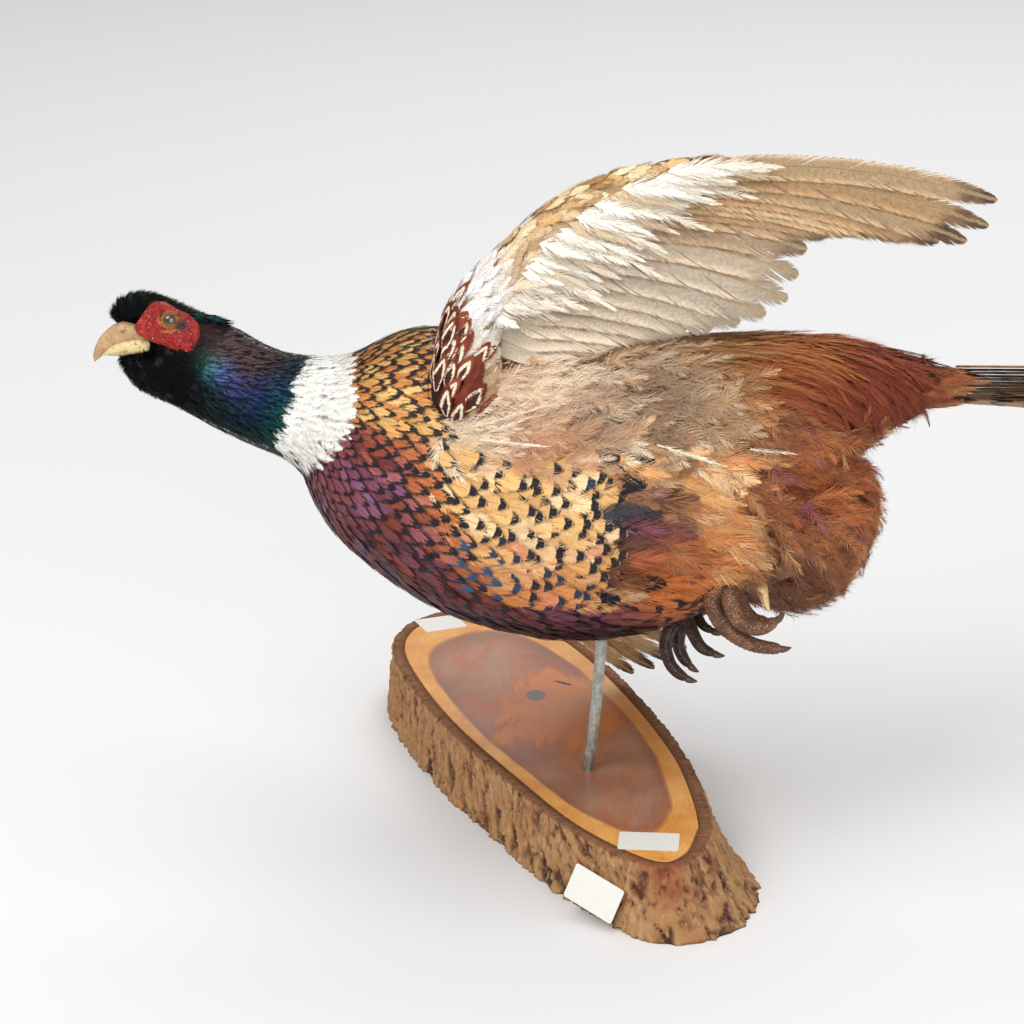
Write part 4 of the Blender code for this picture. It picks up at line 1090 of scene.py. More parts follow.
TRACTS = (
    Tract("head", "plumage_dark", head_score, neck_colours, 9.0, 4.0, 1.0, SILKY),
    Tract("ring", "ring_white", ring_score, white_colours, 2.1, (9.0, 12.0), 3.0, SHORT_WHITE,
          (0.55, 0.95), 0.1),
    Tract("neck", "plumage_dark", neck_score, neck_colours, 1.8, (6.0, 8.5), 1.8, SILKY,
          (0.3, 1.0), 0.1, astray=0.18, finish="sheeny"),
    Tract("mantle", "plumage_gold", mantle_score, mantle_colours, None, (3.0, 3.5), 0.60, SCALE,
          finish="glossy"),
    Tract("breast", "plumage_gold", breast_score, breast_colours, None, (3.0, 3.4), 0.72, SCALE,
          finish="glossy"),
    Tract("flank", "plumage_gold", flank_score, flank_colours, None, (3.0, 3.6), 0.80, BROAD, astray=0.14),
    Tract("belly", "plumage_gold", belly_score, belly_colours, None, (2.8, 3.4), 0.72, BROAD,
          (0.3, 1.05), 0.3, astray=0.2, finish="glossy"),
    Tract("back", "plumage_gold", back_score, back_colours, None, (3.4, 4.2), 0.85, BROAD, (0.3, 1.2)),
    Tract("rump", "plumage_rust", rump_score, rump_colours, 3.7, (36, 56), 4.2, PLUME,
          (0.3, 1.15), 0.35, 0.006, 0.14, 8, leave=0.9, fluff=0.3),
    Tract("vent", "plumage_fluff", vent_score, vent_colours, 3.8, (17, 26), 6.2, LOOSE,
          (0.3, 1.35), 0.5, 0.010, 0.35, leave=0.6, fluff=1.0),
    Tract("rear", "plumage_rust", rear_score, rear_colours, 5.6, (26, 38), 7.5, FAIR,
          (0.3, 1.15), 0.3, 0.004, 0.22, leave=0.6, fluff=0.5),
    Tract("side", "plumage_fluff", side_score, side_colours, 4.0, (18, 28), 7.0, LOOSE,
          (0.3, 1.25), 0.35, 0.006, 0.38, leave=0.6, fluff=0.7),
)


def tract_of(points):
    """Which tract each place belongs to, as its row in the list."""
    scores = [np.minimum(tract.score(points), 3.0 - 0.01 * row) for row, tract in enumerate(TRACTS)]
    return np.argmax(np.stack(scores), axis=0)


def skin_colours(points):
    """The skin under each tract, in a deeper shade of its feathers."""
    found, which = np.zeros((len(points), 3)), tract_of(points)
    for row, tract in enumerate(TRACTS):
        own = which == row
        if own.any():
            colours = tract.colours(points[own], np.random.default_rng(row))
            base = colours[0] if isinstance(colours, tuple) else colours
            found[own] = base * (0.9 if row == 1 else 0.45)
    return found


def dress_tract(row, surface, rows, finishes):
    tract = TRACTS[row]
    rng = np.random.default_rng(100 + row)
    reach = 0.3 * sum(tract.length)

    def shows(points, lie, reach):
        """Whether the feathers' outer halves fall in this tract."""
        shown = points + lie * reach
        return (tract_of(shown) == row) & ~bare_face(points) & ~bare_face(shown)

    if tract.spacing:
        roots, normals = surface.scatter(
            rng, tract.spacing, lambda points: shows(points, side_guides(points), reach) - 0.5)
        heading, size, visible = side_guides(roots), np.ones(len(roots)), None
        shown = roots + heading * reach
        shorter = np.interp(roots[:, 0], (112, 158), (1.0, 0.4))
        turned = 1.0
    else:
        own = shows(rows[0], rows[2], 2.5 * rows[3][:, None])
        roots, normals, heading, size = (part[own] for part in rows)
        shown, visible = roots + heading * 2.5 * size[:, None], 2 * ROW_STEP * size
        shorter, turned = 1.0, 0.35
    n = len(roots)
    astray = rng.normal(size=(n, 3)) * tract.astray * bpy.context.scene.pheasant_plumage.ruffle * turned
    length = rng.uniform(*tract.length, n) * size * shorter
    depth, (low, high) = coat_depth(roots), tract.rise
    jitter = rng.uniform(-0.12, 0.12, n) + tract.fluff * rng.random(n) ** 2
    path, up = surface.follow(
        roots, normals, heading + astray, length, tract.stations,
        lambda share: depth * (low + (high - low) * share ** 0.7 + jitter * share), tract.loose, tract.sag,
        tract.leave)
    colours = tract.colours(shown, rng)
    base, mark, kind = colours if isinstance(colours, tuple) else (colours, PLAIN, PLAIN)
    coat = Coat(f"plumage_{tract.name}", tract.slot)
    feathers(coat, path, up, tract.width * rng.uniform(0.92, 1.08, n) * size, tract.look, rng,
             unwrapped(roots), base, mark, kind, visible=visible)
    coat.build(finishes[tract.finish])


QUILLS = (                   # x and z of both ends of the pale shafts that stray over the near side
    ((-51, 42), (-14, 57)), ((-53, 29), (-17, 25)), ((-48, 36), (-26, 46)), ((35, 26), (72, 14)),
    ((84, 24), (118, 14)),
)


def dress_quills(surface, finishes):
    """Long pale shafts with sparse barbs that lie over the down of the near side."""
    rng = np.random.default_rng(140)
    coat = Coat("stray_quills", "plumage_fluff")
    path = np.array([[(x0 + (x1 - x0) * s, -90.0, z0 + (z1 - z0) * s) for s in np.linspace(0, 1, 6)]
                     for (x0, z0), (x1, z1) in QUILLS])
    n, k = path.shape[:2]
    found, normals = surface.nearest(path.reshape(-1, 3))
    lift = coat_depth(found) + np.tile(np.linspace(2.0, 4.5, k), n)
    path = (found + normals * lift[:, None]).reshape(n, k, 3)
    straight = path[:, :1] + (path[:, -1:] - path[:, :1]) * np.linspace(0, 1, k)[:, None]
    look = Look(30, 2, (34, 12), 0.28, 0.3, 0.08, 0.2, 8.0, 0.4, 5.0, 1.0, 0.06, slim_outline, 0.7)
    feathers(coat, straight * 0.7 + path * 0.3, normals.reshape(n, k, 3), 2.4, look, rng,
             unwrapped(path[:, 0]), varied(rng, n, (246, 232, 208), 0.05))
    coat.build(finishes["satin"])


# Wings

FAN_SHARES = (0, 0.1, 0.25, 0.45, 0.65, 0.85, 1)


class Fan:
    """A tier of overlapping feathers in a wing's plane, from roots on one path to tips on another."""

    def __init__(self, roots, tips, count, bow, front, back, lift=(0.0, 0.0)):
        self.count, self.lift = count, lift
        root, ahead = spread(roots, count), spread(tips, count) - spread(roots, count)
        s = np.array(FAN_SHARES)[:, None, None]
        out = columns(-ahead[:, 1], ahead[:, 0])
        self.quill = root[None] + ahead[None] * s + out[None] * (4 * bow * s * (1 - s))
        self.front, self.back = np.linspace(*front, count), np.linspace(*back, count)
        self.place = np.array([way_along(level) for level in self.quill])

    def height(self, k, j, across):
        """Over the plane, of feather j's point this far across towards the next feather, at station k."""
        far = self.place[k]
        at = far[j] + across
        index = np.interp(at, far, np.arange(self.count))
        if at < far[0]:
            index = (at - far[0]) / max(far[1] - far[0], 1.0)
        if at > far[-1]:
            index = self.count - 1 + (at - far[-1]) / max(far[-1] - far[-2], 1.0)
        return VANE_STEP * (index - j) + np.interp(FAN_SHARES[k], (0, 1), self.lift)

    def paths(self, to_space):
        """Quills (count, stations, 3) of the tier, and the way up at each station."""
        found, last = [], len(FAN_SHARES) - 1
        for j in range(self.count):
            for k in range(last + 1):
                here = self.quill[k][j]
                ahead = self.quill[min(k + 1, last)][j] - self.quill[max(k - 1, 0)][j]
                ahead = ahead / np.linalg.norm(ahead)
                out = np.array([-ahead[1], ahead[0]])
                edges = [to_space(*(here - out * across), self.height(k, j, across))
                         for across in (-4.0, 0.0, 4.0)]
                flat = to_space(*here, 0.0)
                normal = np.cross(to_space(*(here + ahead), 0.0) - flat, edges[2] - edges[0])
                found.append((edges[1], unit(normal) * np.sign(normal @ (to_space(*here, 1.0) - flat))))
        found = np.array(found).reshape(self.count, last + 1, 2, 3)
        return found[:, :, 0], found[:, :, 1]


VANE_STEP = 1.2              # between one flight feather and the next over it
ARM_END = 22.0               # length over which the arm rounds off into the body


class Wing:
    """One wing in its own plane: along runs back from the shoulder, out runs on to the tip."""

    def __init__(self, side, shoulder, back_axis, out_axis, camber, arm):
        self.side, self.camber = side, camber
        self.shoulder, self.back_axis = np.array(shoulder, float), unit(np.array(back_axis, float))
        out = np.array(out_axis, float)
        self.out_axis = unit(out - self.back_axis * out.dot(self.back_axis))
        self.under = np.cross(self.back_axis, self.out_axis) * (1 if side == "left" else -1)
        self.arm = spread(arm, 160)

    def to_space(self, along, out, height):
        hollow = self.camber * ((along / 100.0) ** 2 + 0.35 * (out / 100.0) ** 2)
        return self.shoulder + self.back_axis * along + self.out_axis * out + self.under * (height + hollow)

    def flat(self, points):
        """Along, out and height over the plane of points of the bird's frame."""
        away = points - self.shoulder
        return columns(away @ self.back_axis, away @ self.out_axis, away @ self.under)

    def surface(self, inset=2.2, rings=60, sides=28):
        """The fleshy band of the wing as a skin, drawn in by this much."""
        made, far = [], way_along(self.arm[:, :2])
        turns = np.linspace(0, 2 * pi, sides, endpoint=False)
        for at in (far[-1] - 1.0) * np.linspace(0.0, 1.0, rings) ** 1.3:
            x, y, half_width, half_thick = (np.interp(at, far, column) for column in self.arm.T)
            round_off = max(0.15, 1 - (1 - min(at / ARM_END, 1)) ** 2) ** 0.5
            half_width = max(half_width * round_off - inset, 1.2)
            half_thick = max(half_thick * round_off - inset, 1.0)
            ahead = unit(np.array([np.interp(at + 1, far, c) - np.interp(at - 1, far, c)
                                   for c in self.arm.T[:2]]))
            across, over = np.cos(turns) * half_width, np.sin(turns) * half_thick
            made.append([self.to_space(x - ahead[1] * a, y + ahead[0] * a, o) for a, o in zip(across, over)])
        points, triangles, quads = loft(made)
        faces = np.concatenate([triangles, quads[:, (0, 1, 2)], quads[:, (0, 2, 3)]])
        a, b, c = (points[faces[:, k]] - points.mean(0) for k in range(3))
        if (a * np.cross(b, c)).sum() <= 0:
            faces = np.ascontiguousarray(faces[:, ::-1])
        return Skin(points, faces)


LEFT_ARM = (
    (2, -12, 20, 15), (4, 12, 18, 14), (6, 34, 15.5, 12), (12, 50, 14, 10), (25, 64, 13, 9),
    (42, 82, 11.5, 7.5), (55, 93, 10.5, 7), (72, 103, 8.5, 6.2), (95, 111, 6.5, 5.4), (124, 117, 4, 4.6),
)
LEFT_ROOTS = ((116, 114), (98, 109), (80, 104), (62, 95), (48, 85), (34, 71), (22, 58), (14, 44), (8, 28))
LEFT_TIPS = (
    (259, 97), (255, 85), (247, 78), (226, 78), (204, 82), (184, 83), (171, 77), (166, 66), (163, 55),
    (152, 45), (132, 39), (104, 36), (72, 34),
)
LEFT_COVERT_ROOTS = ((112, 113), (90, 107), (66, 96), (46, 83), (28, 63), (16, 46))
LEFT_COVERT_TIPS = ((152, 112), (132, 101), (112, 87), (94, 73), (78, 61), (60, 51), (40, 42))
RIGHT_ARM = (
    (12, -16, 20, 15), (8, 6, 20, 13), (2, 26, 18, 11.5), (-2, 46, 15, 9.5), (0, 62, 11, 7.5),
    (6, 80, 7.5, 5.5), (16, 98, 4.5, 4.6),
)
RIGHT_ROOTS = ((14, 92), (8, 80), (4, 68), (4, 56), (10, 47), (18, 41), (28, 36), (40, 32), (52, 29))
RIGHT_TIPS = (
    (90, 172), (113, 161), (125, 132), (134, 117), (142, 105), (149, 94), (153, 84), (152, 73), (147, 62),
    (139, 52), (128, 44), (114, 38), (96, 34),
)
RIGHT_COVERT_ROOTS = ((13, 90), (6, 76), (3, 62), (5, 48), (14, 38), (28, 32))
RIGHT_COVERT_TIPS = ((40, 118), (56, 106), (66, 90), (72, 76), (73, 62), (68, 52), (58, 43))
RIGHT_DOWN = radians(49.5)
FLIGHT_COUNT = 18


def flight_outline(t):
    return np.minimum(1.0, np.minimum(0.45 + 2.2 * t, np.sqrt(np.clip(1 - t, 0, 1)) * 2.4))


FLIGHT = Look(130, 3, (46, 20), 1.15, 0.30, 0.04, 0.003, 1.2, 0.06, 1.6, 1.1, 0.08, flight_outline, 0.10)
COVERT = Look(56, 2, (44, 12), 0.50, 0.40, 0.08, 0.09, 6.0, 0.25, 8.0, 0.4, 0.03, slim_outline, 0.60)
COVERT_TIERS = (             # share of the length, count, share of the width
    (1.24, 26, 1.0), (0.92, 32, 0.9), (0.62, 38, 0.8),
)
UNDER_LIFT, UPPER_LIFT = ((3.0, 5.4), (4.4, 6.8), (5.6, 8.0)), ((-3.0, -5.4), (-4.4, -6.8), (-5.6, -8.0))
TINY = Look(24, 2, (54, 18), 0.62, 0.25, 0.08, 0.02, 3.0, 0.15, 2.0, 0.22, ragged=0.12)
LOOPED = Look(40, 2, (54, 18), 0.85, 0.25, 0.08, 0.015, 2.5, 0.12, 1.5, 0.3, 0.10, ragged=0.06)


def front_and_back(wing, fan, path, up):
    """The widths of the vanes on the left and right of the quill, whichever of them is the front one."""
    side = np.cross(up[:, 2], path[:, 3] - path[:, 1])
    return (fan.back, fan.front) if (side @ wing.out_axis).mean() > 0 else (fan.front, fan.back)


def bake_band(row, count, first, last):
    """Places for count roots side by side on the bake map, in the band from first to last."""
    return columns(0.955 + 0.008 * row, np.linspace(first, last, count))


def both_wings():
    left = Wing("left", (-62, -47, 41), (1.0, 0.2, 0.0), (0.0, 0.08, 1.0), 5.0, LEFT_ARM)
    right = Wing("right", (-62, 47, 36), (1.0, 0.0, 0.0), (0.0, cos(RIGHT_DOWN), -sin(RIGHT_DOWN)), 3.0,
                 RIGHT_ARM)
    return ((left, Fan(LEFT_ROOTS, LEFT_TIPS, FLIGHT_COUNT, 0.055, (6.0, 10.0), (9.5, 18.0)),
             LEFT_COVERT_ROOTS, LEFT_COVERT_TIPS),
            (right, Fan(RIGHT_ROOTS, RIGHT_TIPS, FLIGHT_COUNT, 0.03, (5.0, 8.0), (9.5, 14.5)),
             RIGHT_COVERT_ROOTS, RIGHT_COVERT_TIPS))


def vane_colours(rng, share):
    """Base, Mark and Kind of flight feathers; share is 0 at the wing tip and 1 at the body."""
    inner = smooth_step(share, 0.40, 0.58)
    base = blend(varied(rng, len(share), (212, 178, 134), 0.06, (194, 154, 110)), (224, 205, 180), inner)
    base = base * np.exp(rng.normal(size=(len(share), 1)) * 0.05)
    return base, blend((92, 62, 42), (112, 80, 54), inner), columns(0.9, 1 - 0.6 * inner, 0.6 - 0.4 * inner)


def covert_colours(rng, n, tier, upper):
    if upper:
        return varied(rng, n, (190, 150, 104), 0.08, (168, 126, 82), (206, 172, 126))
    pale, dark = (((236, 224, 206), (208, 184, 152)), ((244, 236, 222), (228, 210, 184)),
                  ((246, 240, 228), (226, 204, 168)))[tier]
    return varied(rng, n, pale, 0.05, dark, pale)


def dress_flight(finishes):
    """Flight feathers of both wings and the tiers of coverts over their roots, below and above."""
    for row, (wing, flight, roots, tips) in enumerate(both_wings()):
        rng = np.random.default_rng(200 + row)
        coat, soft = Coat(f"flight_{wing.side}", "wing_buff"), Coat(f"coverts_{wing.side}", "wing_buff")
        path, up = flight.paths(wing.to_space)
        base, mark, kind = vane_colours(rng, np.linspace(0, 1, flight.count))
        # The far wing's vanes are a quarter paler: painted light for the light that shines through them from
        # behind.
        base = np.minimum(base * (1.0, 1.25)[row], 1.0)
        feathers(coat, path, up, 1.0, FLIGHT, rng, bake_band(row, flight.count, 0.02, 0.30), base, mark,
                 kind, front_and_back(wing, flight, path, up))
        start = spread(roots, 9)
        reach = spread(tips, 9) - start
        for upper, lifts in enumerate((UNDER_LIFT, UPPER_LIFT)):
            for tier, (share, n, wide) in enumerate(COVERT_TIERS):
                fan = Fan(start, start + reach * share, n, 0.03, (6.5 * wide, 8 * wide),
                          (9 * wide, 11 * wide), lifts[tier])
                path, up = fan.paths(wing.to_space)
                path = path[:, :1] + (path - path[:, :1]) * rng.uniform(0.72, 1.08, (n, 1, 1))
                path = path + rng.normal(size=(n, 1, 3)) * np.linspace(0.8, 2.6, path.shape[1])[:, None]
                low = 0.35 + 0.3 * upper + 0.1 * tier
                feathers(soft, path, up * (1 - 2 * upper), 1.0, COVERT, rng,
                         bake_band(row, n, low, low + 0.08),
                         covert_colours(rng, n, tier, upper), sides=front_and_back(wing, fan, path, up))
        coat.build(finishes["vane"])
        soft.build(finishes["satin"])


def scapular_zone(flat):
    """Where the wing's base carries the maroon feathers with pale loops."""
    along, out = flat[:, 0], flat[:, 1]
    return ((out < 21) & (along < 5)) | ((along < -4) & (out < 50))


def wing_side_colours(flat, rng):
    """The small feathers on the wing's fleshy band, white down at its base and gold at its tip."""
    n, (along, out, height) = len(flat), flat.T
    white = np.clip(1.8 * np.exp(-((along - 4) / 11) ** 2 - ((out - 44) / 22) ** 2), 0, 1)
    base = layered(
        varied(rng, n, (212, 182, 140), 0.07, (226, 204, 172), (190, 154, 108)),
        (varied(rng, n, (204, 164, 106), 0.10, (234, 212, 168), (164, 118, 70)),
         smooth_step(out, 70, 88) * 0.8),
        (varied(rng, n, (190, 152, 106), 0.12, (158, 116, 76), (216, 188, 142)), (height < 0) * 0.8),
        (varied(rng, n, (240, 237, 232), 0.03, (222, 217, 212)), white))
    return base, (142, 106, 74), columns(0.16 * (1 - white), 0, 0)


def dress_arms(finishes):
    """Small feathers over the fleshy band of both wings, and the looped scapulars over its base."""
    for row, (wing, flight, roots, tips) in enumerate(both_wings()):
        rng = np.random.default_rng(220 + row)
        surface, name = wing.surface(), f"arm_{wing.side}"
        skin = blend((204, 170, 126), (58, 26, 20), scapular_zone(wing.flat(surface.points)))
        mesh = make_mesh(name, to_world(surface.points), surface.triangles, None, None, {"Base": skin})
        fit(place(name, mesh, finishes["skin"]), "wing_buff",
            *[f"wing_{wing.side}_{part}" for part in ("shoulder", "forearm", "hand")])
        coat = Coat(f"arm_feathers_{wing.side}", "wing_buff")
        for looped, spacing, low, high, half, look in ((False, 3.6, 12, 17, 3.6, TINY),
                                                       (True, 4.3, 16, 21, 4.5, LOOPED)):
            roots, normals = surface.scatter(
                rng, spacing, lambda points: (scapular_zone(wing.flat(points)) == looped) - 0.5)
            flat, n = wing.flat(roots), len(roots)
            outer = smooth_step(flat[:, 1], 60, 100)
            back = 0.35 + 0.2 * rng.random(n) if looped else 0.75 + 0.25 * outer
            heading = wing.back_axis * back[:, None] + wing.out_axis * (0.62 - 0.45 * outer)[:, None]
            heading = unit(heading + rng.normal(size=(n, 3)) * 0.12)
            jitter = rng.uniform(-0.15, 0.35, n)
            path, up = surface.follow(roots, normals, heading, rng.uniform(low, high, n), 5,
                                      lambda share: 0.7 + (1.5 + jitter) * share, 0.2)
            if looped:
                base = varied(rng, n, setting("chestnut"), 0.12, CHESTNUT * 0.75, (134, 60, 36))
                mark, kind = CREAM, columns(0, 0, (rng.random(n) < 0.7) * 1.0)
            else:
                base, mark, kind = wing_side_colours(flat, rng)
            bake = columns(0.97 + 0.01 * row + rng.uniform(0, 0.008, n), rng.random(n))
            feathers(coat, path, up, half * rng.uniform(0.85, 1.15, n), look, rng, bake, base, mark, kind,
                     visible=11.5 if looped else None)
        coat.build(finishes["satin"])


TAIL_ROOT_RINGS = (
    (146, 63, 140, 36, 17), (162, 61, 158, 41, 15), (174, 60.5, 170, 45, 13), (181, 59.5, 178, 49, 10),
    (186, 58, 184, 52, 6),
)
TAIL_FEATHERS, TAIL_TIP, TAIL_TOP, TAIL_SHORTEST = 12, 603.0, 60.5, 150.0
TAIL_WIDTH, TAIL_STEP, TAIL_ARCH, TAIL_DROOP = 19.0, 1.5, 40.0, 14.0
TAIL_ROOT = 180.0

# Tail


def tail_outline(t):
    point = np.maximum(0.0, t - 0.2) / 0.8
    return np.minimum(1.0, 0.34 + 2.4 * t) * (1.0 - 0.93 * point * (0.30 + 0.70 * point))


def dress_tail(finishes):
    """The folded tail: graduated pairs, the middle one longest and on top."""
    rng = np.random.default_rng(300)
    longest = TAIL_TIP - TAIL_ROOT
    coat = Coat("tail_feathers", "tail_barred")
    for k in range(TAIL_FEATHERS):
        share = (k // 2) / (TAIL_FEATHERS / 2 - 1)
        length = longest + (TAIL_SHORTEST - longest) * share ** 0.8
        x = TAIL_ROOT + length * np.linspace(0, 1, 14)
        y = (1 if k % 2 else -1) * (1.0 + 4.5 * share + (0.008 + 0.07 * share) * (x - TAIL_ROOT))
        droop = TAIL_DROOP * ((x - TAIL_ROOT) / longest) ** 2 + y ** 2 / (2 * TAIL_ARCH)
        path = columns(x, y, TAIL_TOP - TAIL_STEP * k - droop)[None]
        look = Look(int(150 + 170 * length / longest), 3, (40, 18), 1.35, 0.3, 0.012, 0.003, 1.2, 0.06, 1.6,
                    1.5, 0.0, tail_outline, 0.10)
        base = varied(rng, 1, (168, 130, 90), 0.05, (152, 114, 76))
        feathers(coat, path, unit(columns(0, y / TAIL_ARCH, 1))[None], TAIL_WIDTH * (1.0 - 0.30 * share),
                 look, rng,
                 bake_band(3, 12, 0.75, 0.99)[k:k + 1], base, (36, 26, 22), (0.0, length / longest, 0.0))
    coat.build(finishes["tail"], "tail")
    fringe = Coat("tail_coverts", "plumage_rust")
    fringe_roots(fringe, rng)
    rings = profile_rings(TAIL_ROOT_RINGS, 24, 32)
    base = np.tile(srgb(84, 46, 30), (rings.size // 3 + 2, 1))
    fit(place("tail_root", form("tail_root", rings, colours={"Base": base}), finishes["skin"]),
        "plumage_rust")
    fringe.build(finishes["satin"])


def fringe_roots(coat, rng):
    """Soft coverts over the roots of the tail, above and below."""
    for sign, middle, count, length, colour in ((1, 51.5, 110, (18, 30), (146, 76, 42)),
                                                (-1, 50.5, 70, (14, 26), (124, 60, 36))):
        turn = rng.uniform(-1.5, 1.5, count)
        x = rng.uniform(146, 168, count)
        slim = np.interp(x, (150, 176), (1.0, 0.86))
        start = columns(x, np.sin(turn) * 15 * slim, middle + sign * np.cos(turn) * 11 * slim)
        away = columns(0, np.sin(turn), sign * np.cos(turn))
        ahead = unit(np.array((1.0, 0, -0.01)) - away * 0.13 + rng.normal(size=(count, 3)) * 0.025)
        path = along_ways(start, ahead, rng.uniform(*length, count), 6)
        base = varied(rng, count, colour, 0.15, (168, 108, 62))
        bake = columns(rng.uniform(0.93, 0.95, count), rng.random(count))
        feathers(coat, path, np.repeat(away[:, None], 6, 1), 5.0, PLUME, rng, bake, base)


def along_ways(start, ahead, size, stations):
    """Straight paths (n, stations, 3) from these starts."""
    return np.stack([start + ahead * size[:, None] * s for s in np.linspace(0, 1, stations)], 1)


# Face

BILL_UPPER_RINGS = (
    (-209, 80, -207.5, 72.2, 7.4), (-216, 82, -213, 72.3, 7.9), (-224, 83, -219.5, 72.4, 7.3),
    (-229, 81.8, -225, 71.4, 6.0),
    (-233.5, 78.6, -229.5, 70, 4.5), (-237, 74.6, -233.4, 68.2, 3.2), (-239, 70.3, -236, 65.8, 2.0),
    (-239.9, 66.5, -238, 64.2, 1.0), (-239.5, 63.6, -238.9, 63.2, 0.4),
)
BILL_LOWER_RINGS = (
    (-208, 74.6, -208, 67.2, 6.9), (-213, 75.2, -213, 66.4, 7.5), (-219.5, 75.0, -221, 65.6, 6.9),
    (-225.2, 73.8, -227.5, 65.9, 5.3),
    (-230.6, 71.4, -232.3, 66.2, 3.6), (-235.4, 67.4, -235.8, 66.4, 1.1),
)
NOSTRIL = (-227.0, 4.6, 77.5)
EYE_CENTRE = np.array((-201.3, 11.6, 83.2))
EYE_RADIUS = 5.4
PUPIL_RADIUS, IRIS_RADIUS = 1.6, 4.0


def profile_rings(rows, count, sides, fullness=2.0):
    """Rings that span from a top point to a bottom point in the bird's middle plane."""
    turns = np.linspace(0, 2 * pi, sides, endpoint=False)
    c, s = (np.sign(way) * np.abs(way) ** (2 / fullness)
            for way in (np.cos(turns)[:, None], np.sin(turns)[:, None]))
    rings = []
    for top_x, top_z, low_x, low_z, half_width in smooth_curve(rows, np.linspace(0, len(rows) - 1, count)):
        top, low = np.array([top_x, 0, top_z]), np.array([low_x, 0, low_z])
        rings.append((top + low) / 2 + c * (top - low) / 2 + s * np.array((0, half_width, 0)))
    return np.array(rings)


def bump_at(points, x, y, z, radius, height):
    """How far these points stand out on a round swelling."""
    return height * np.exp(-np.sum((points - np.array((x, y, z))) ** 2, axis=1) / radius ** 2)


def closed_form(name, rings, material, shape):
    """A smooth closed body through rings in the bird's frame; shape moves its points along their normals."""
    points, mesh = loft(rings)[0], form(name, rings)
    points = points + (read(mesh, "normal") @ TURN) * shape(points)[:, None]
    mesh.vertices.foreach_set("co", to_world(points).astype(np.float32).ravel())
    mesh.update()
    return place(name, mesh, material)


def dress_bill(material, rim):
    def upper_shape(points):
        found = 0.12 * wave_noise(points, 3.0, 41)
        x, y, z = NOSTRIL
        for sign in (-1, 1):
            found += bump_at(points, x + 2.2, sign * (y + 1.2), z + 2.0, 2.9, 1.9)
            found -= bump_at(points, x - 0.4, sign * (y + 0.6), z - 1.2, 1.3, 1.5)
        return found

    fit(closed_form("bill_top", profile_rings(BILL_UPPER_RINGS, 60, 48, 2.6), material, upper_shape),
        "bill_horn", "bill_upper")
    fit(closed_form("bill_under", profile_rings(BILL_LOWER_RINGS, 40, 36, 2.8), rim,
                    lambda points: 0.10 * wave_noise(points, 3.0, 42)), "bill_horn", "bill_lower")


def dress_eyes(material):
    """Glass balls whose poles face the bird's left and right."""
    turns = np.linspace(0, 2 * pi, 48, endpoint=False)
    for label, sign in SIDES:
        rings = [columns(sin(tilt) * np.cos(turns), -cos(tilt), sin(tilt) * np.sin(turns)) * EYE_RADIUS
                 + EYE_CENTRE * (1, sign, 1) for tilt in np.linspace(0.03, pi - 0.03, 32)]
        eye = place(f"glass_eye_{label}", form(f"glass_eye_{label}", rings), material)
        fit(eye, "eye_glass", f"eye_{label}")


def head_side(tree, x, z, sign):
    """How far out the head's solid reaches at this height, in the bird's frame."""
    start, way = to_world(np.array((x, sign * 40.0, z))), TURN @ np.array((0, -sign, 0.0))
    hit = tree.ray_cast(start.tolist(), way.tolist())[0]
    return abs(to_bird(np.array(hit))[1]) if hit is not None else 4.0


LID_OPENING = (2.7, 2.0)     # half axes of the gap between the lids
WATTLE_PUFF = 1.5


def lid_ring(x, z):
    """Distance from the eye's middle, 1 at the lids' opening."""
    return np.hypot((x - EYE_CENTRE[0]) / LID_OPENING[0], (z - EYE_CENTRE[2]) / LID_OPENING[1])


def wattle_height(x, z, share):
    """Stand of the red skin over the head at these places; share is 0 in its middle and 1 at its edge."""
    ring = lid_ring(x, z)
    height = WATTLE_PUFF * np.sqrt(np.clip(1 - share ** 4, 0, 1)) - 0.9 * smooth_step(share, 0.93, 1.0)
    height += 0.30 * wave_noise(columns(x, 0, z), 3.2, 51) * smooth_step(share, 1.0, 0.85)
    height += 1.3 * np.exp(-((ring - 1.35) / 0.32) ** 2) + 0.5 * np.exp(-((ring - 2.2) / 0.25) ** 2)
    height -= 4.5 * smooth_step(ring, 1.05, 0.75)
    return height - 0.9 * np.exp(-(((x + 195.5) / 3.0) ** 2 + ((z - 79.8) / 2.2) ** 2))


def wattle_colours(x, z, share):
    places, ring = columns(x, 0, z), lid_ring(x, z)
    lid = smooth_step(ring, 2.3, 1.7)
    pit = np.exp(-(((x + 195.5) / 3.0) ** 2 + ((z - 80.3) / 2.6) ** 2))
    crease = np.exp(-((z - (77.8 + 0.10 * (x + 201))) / 0.6) ** 2) * smooth_step(np.abs(x + 201), 5, 2)
    return layered((178, 30, 26), ((214, 74, 58), smooth_step(wave_noise(places, 6.0, 52), 0.1, 0.9) * 0.6),
                   ((104, 12, 14), smooth_step(wave_noise(places, 4.0, 53), 0.2, 1.0) * 0.7),
                   ((196, 132, 54), lid * 0.95),
                   ((112, 66, 36), lid * smooth_step(z, EYE_CENTRE[2] + 0.6, EYE_CENTRE[2] + 2.4) * 0.85),
                   ((90, 50, 30), np.exp(-((ring - 1.05) / 0.16) ** 2) * 0.8),
                   ((52, 40, 42), np.clip(pit * 1.4, 0, 0.95)), ((206, 160, 84), crease * 0.7),
                   ((222, 196, 160), smooth_step(share, 0.975, 1.0) * 0.35))


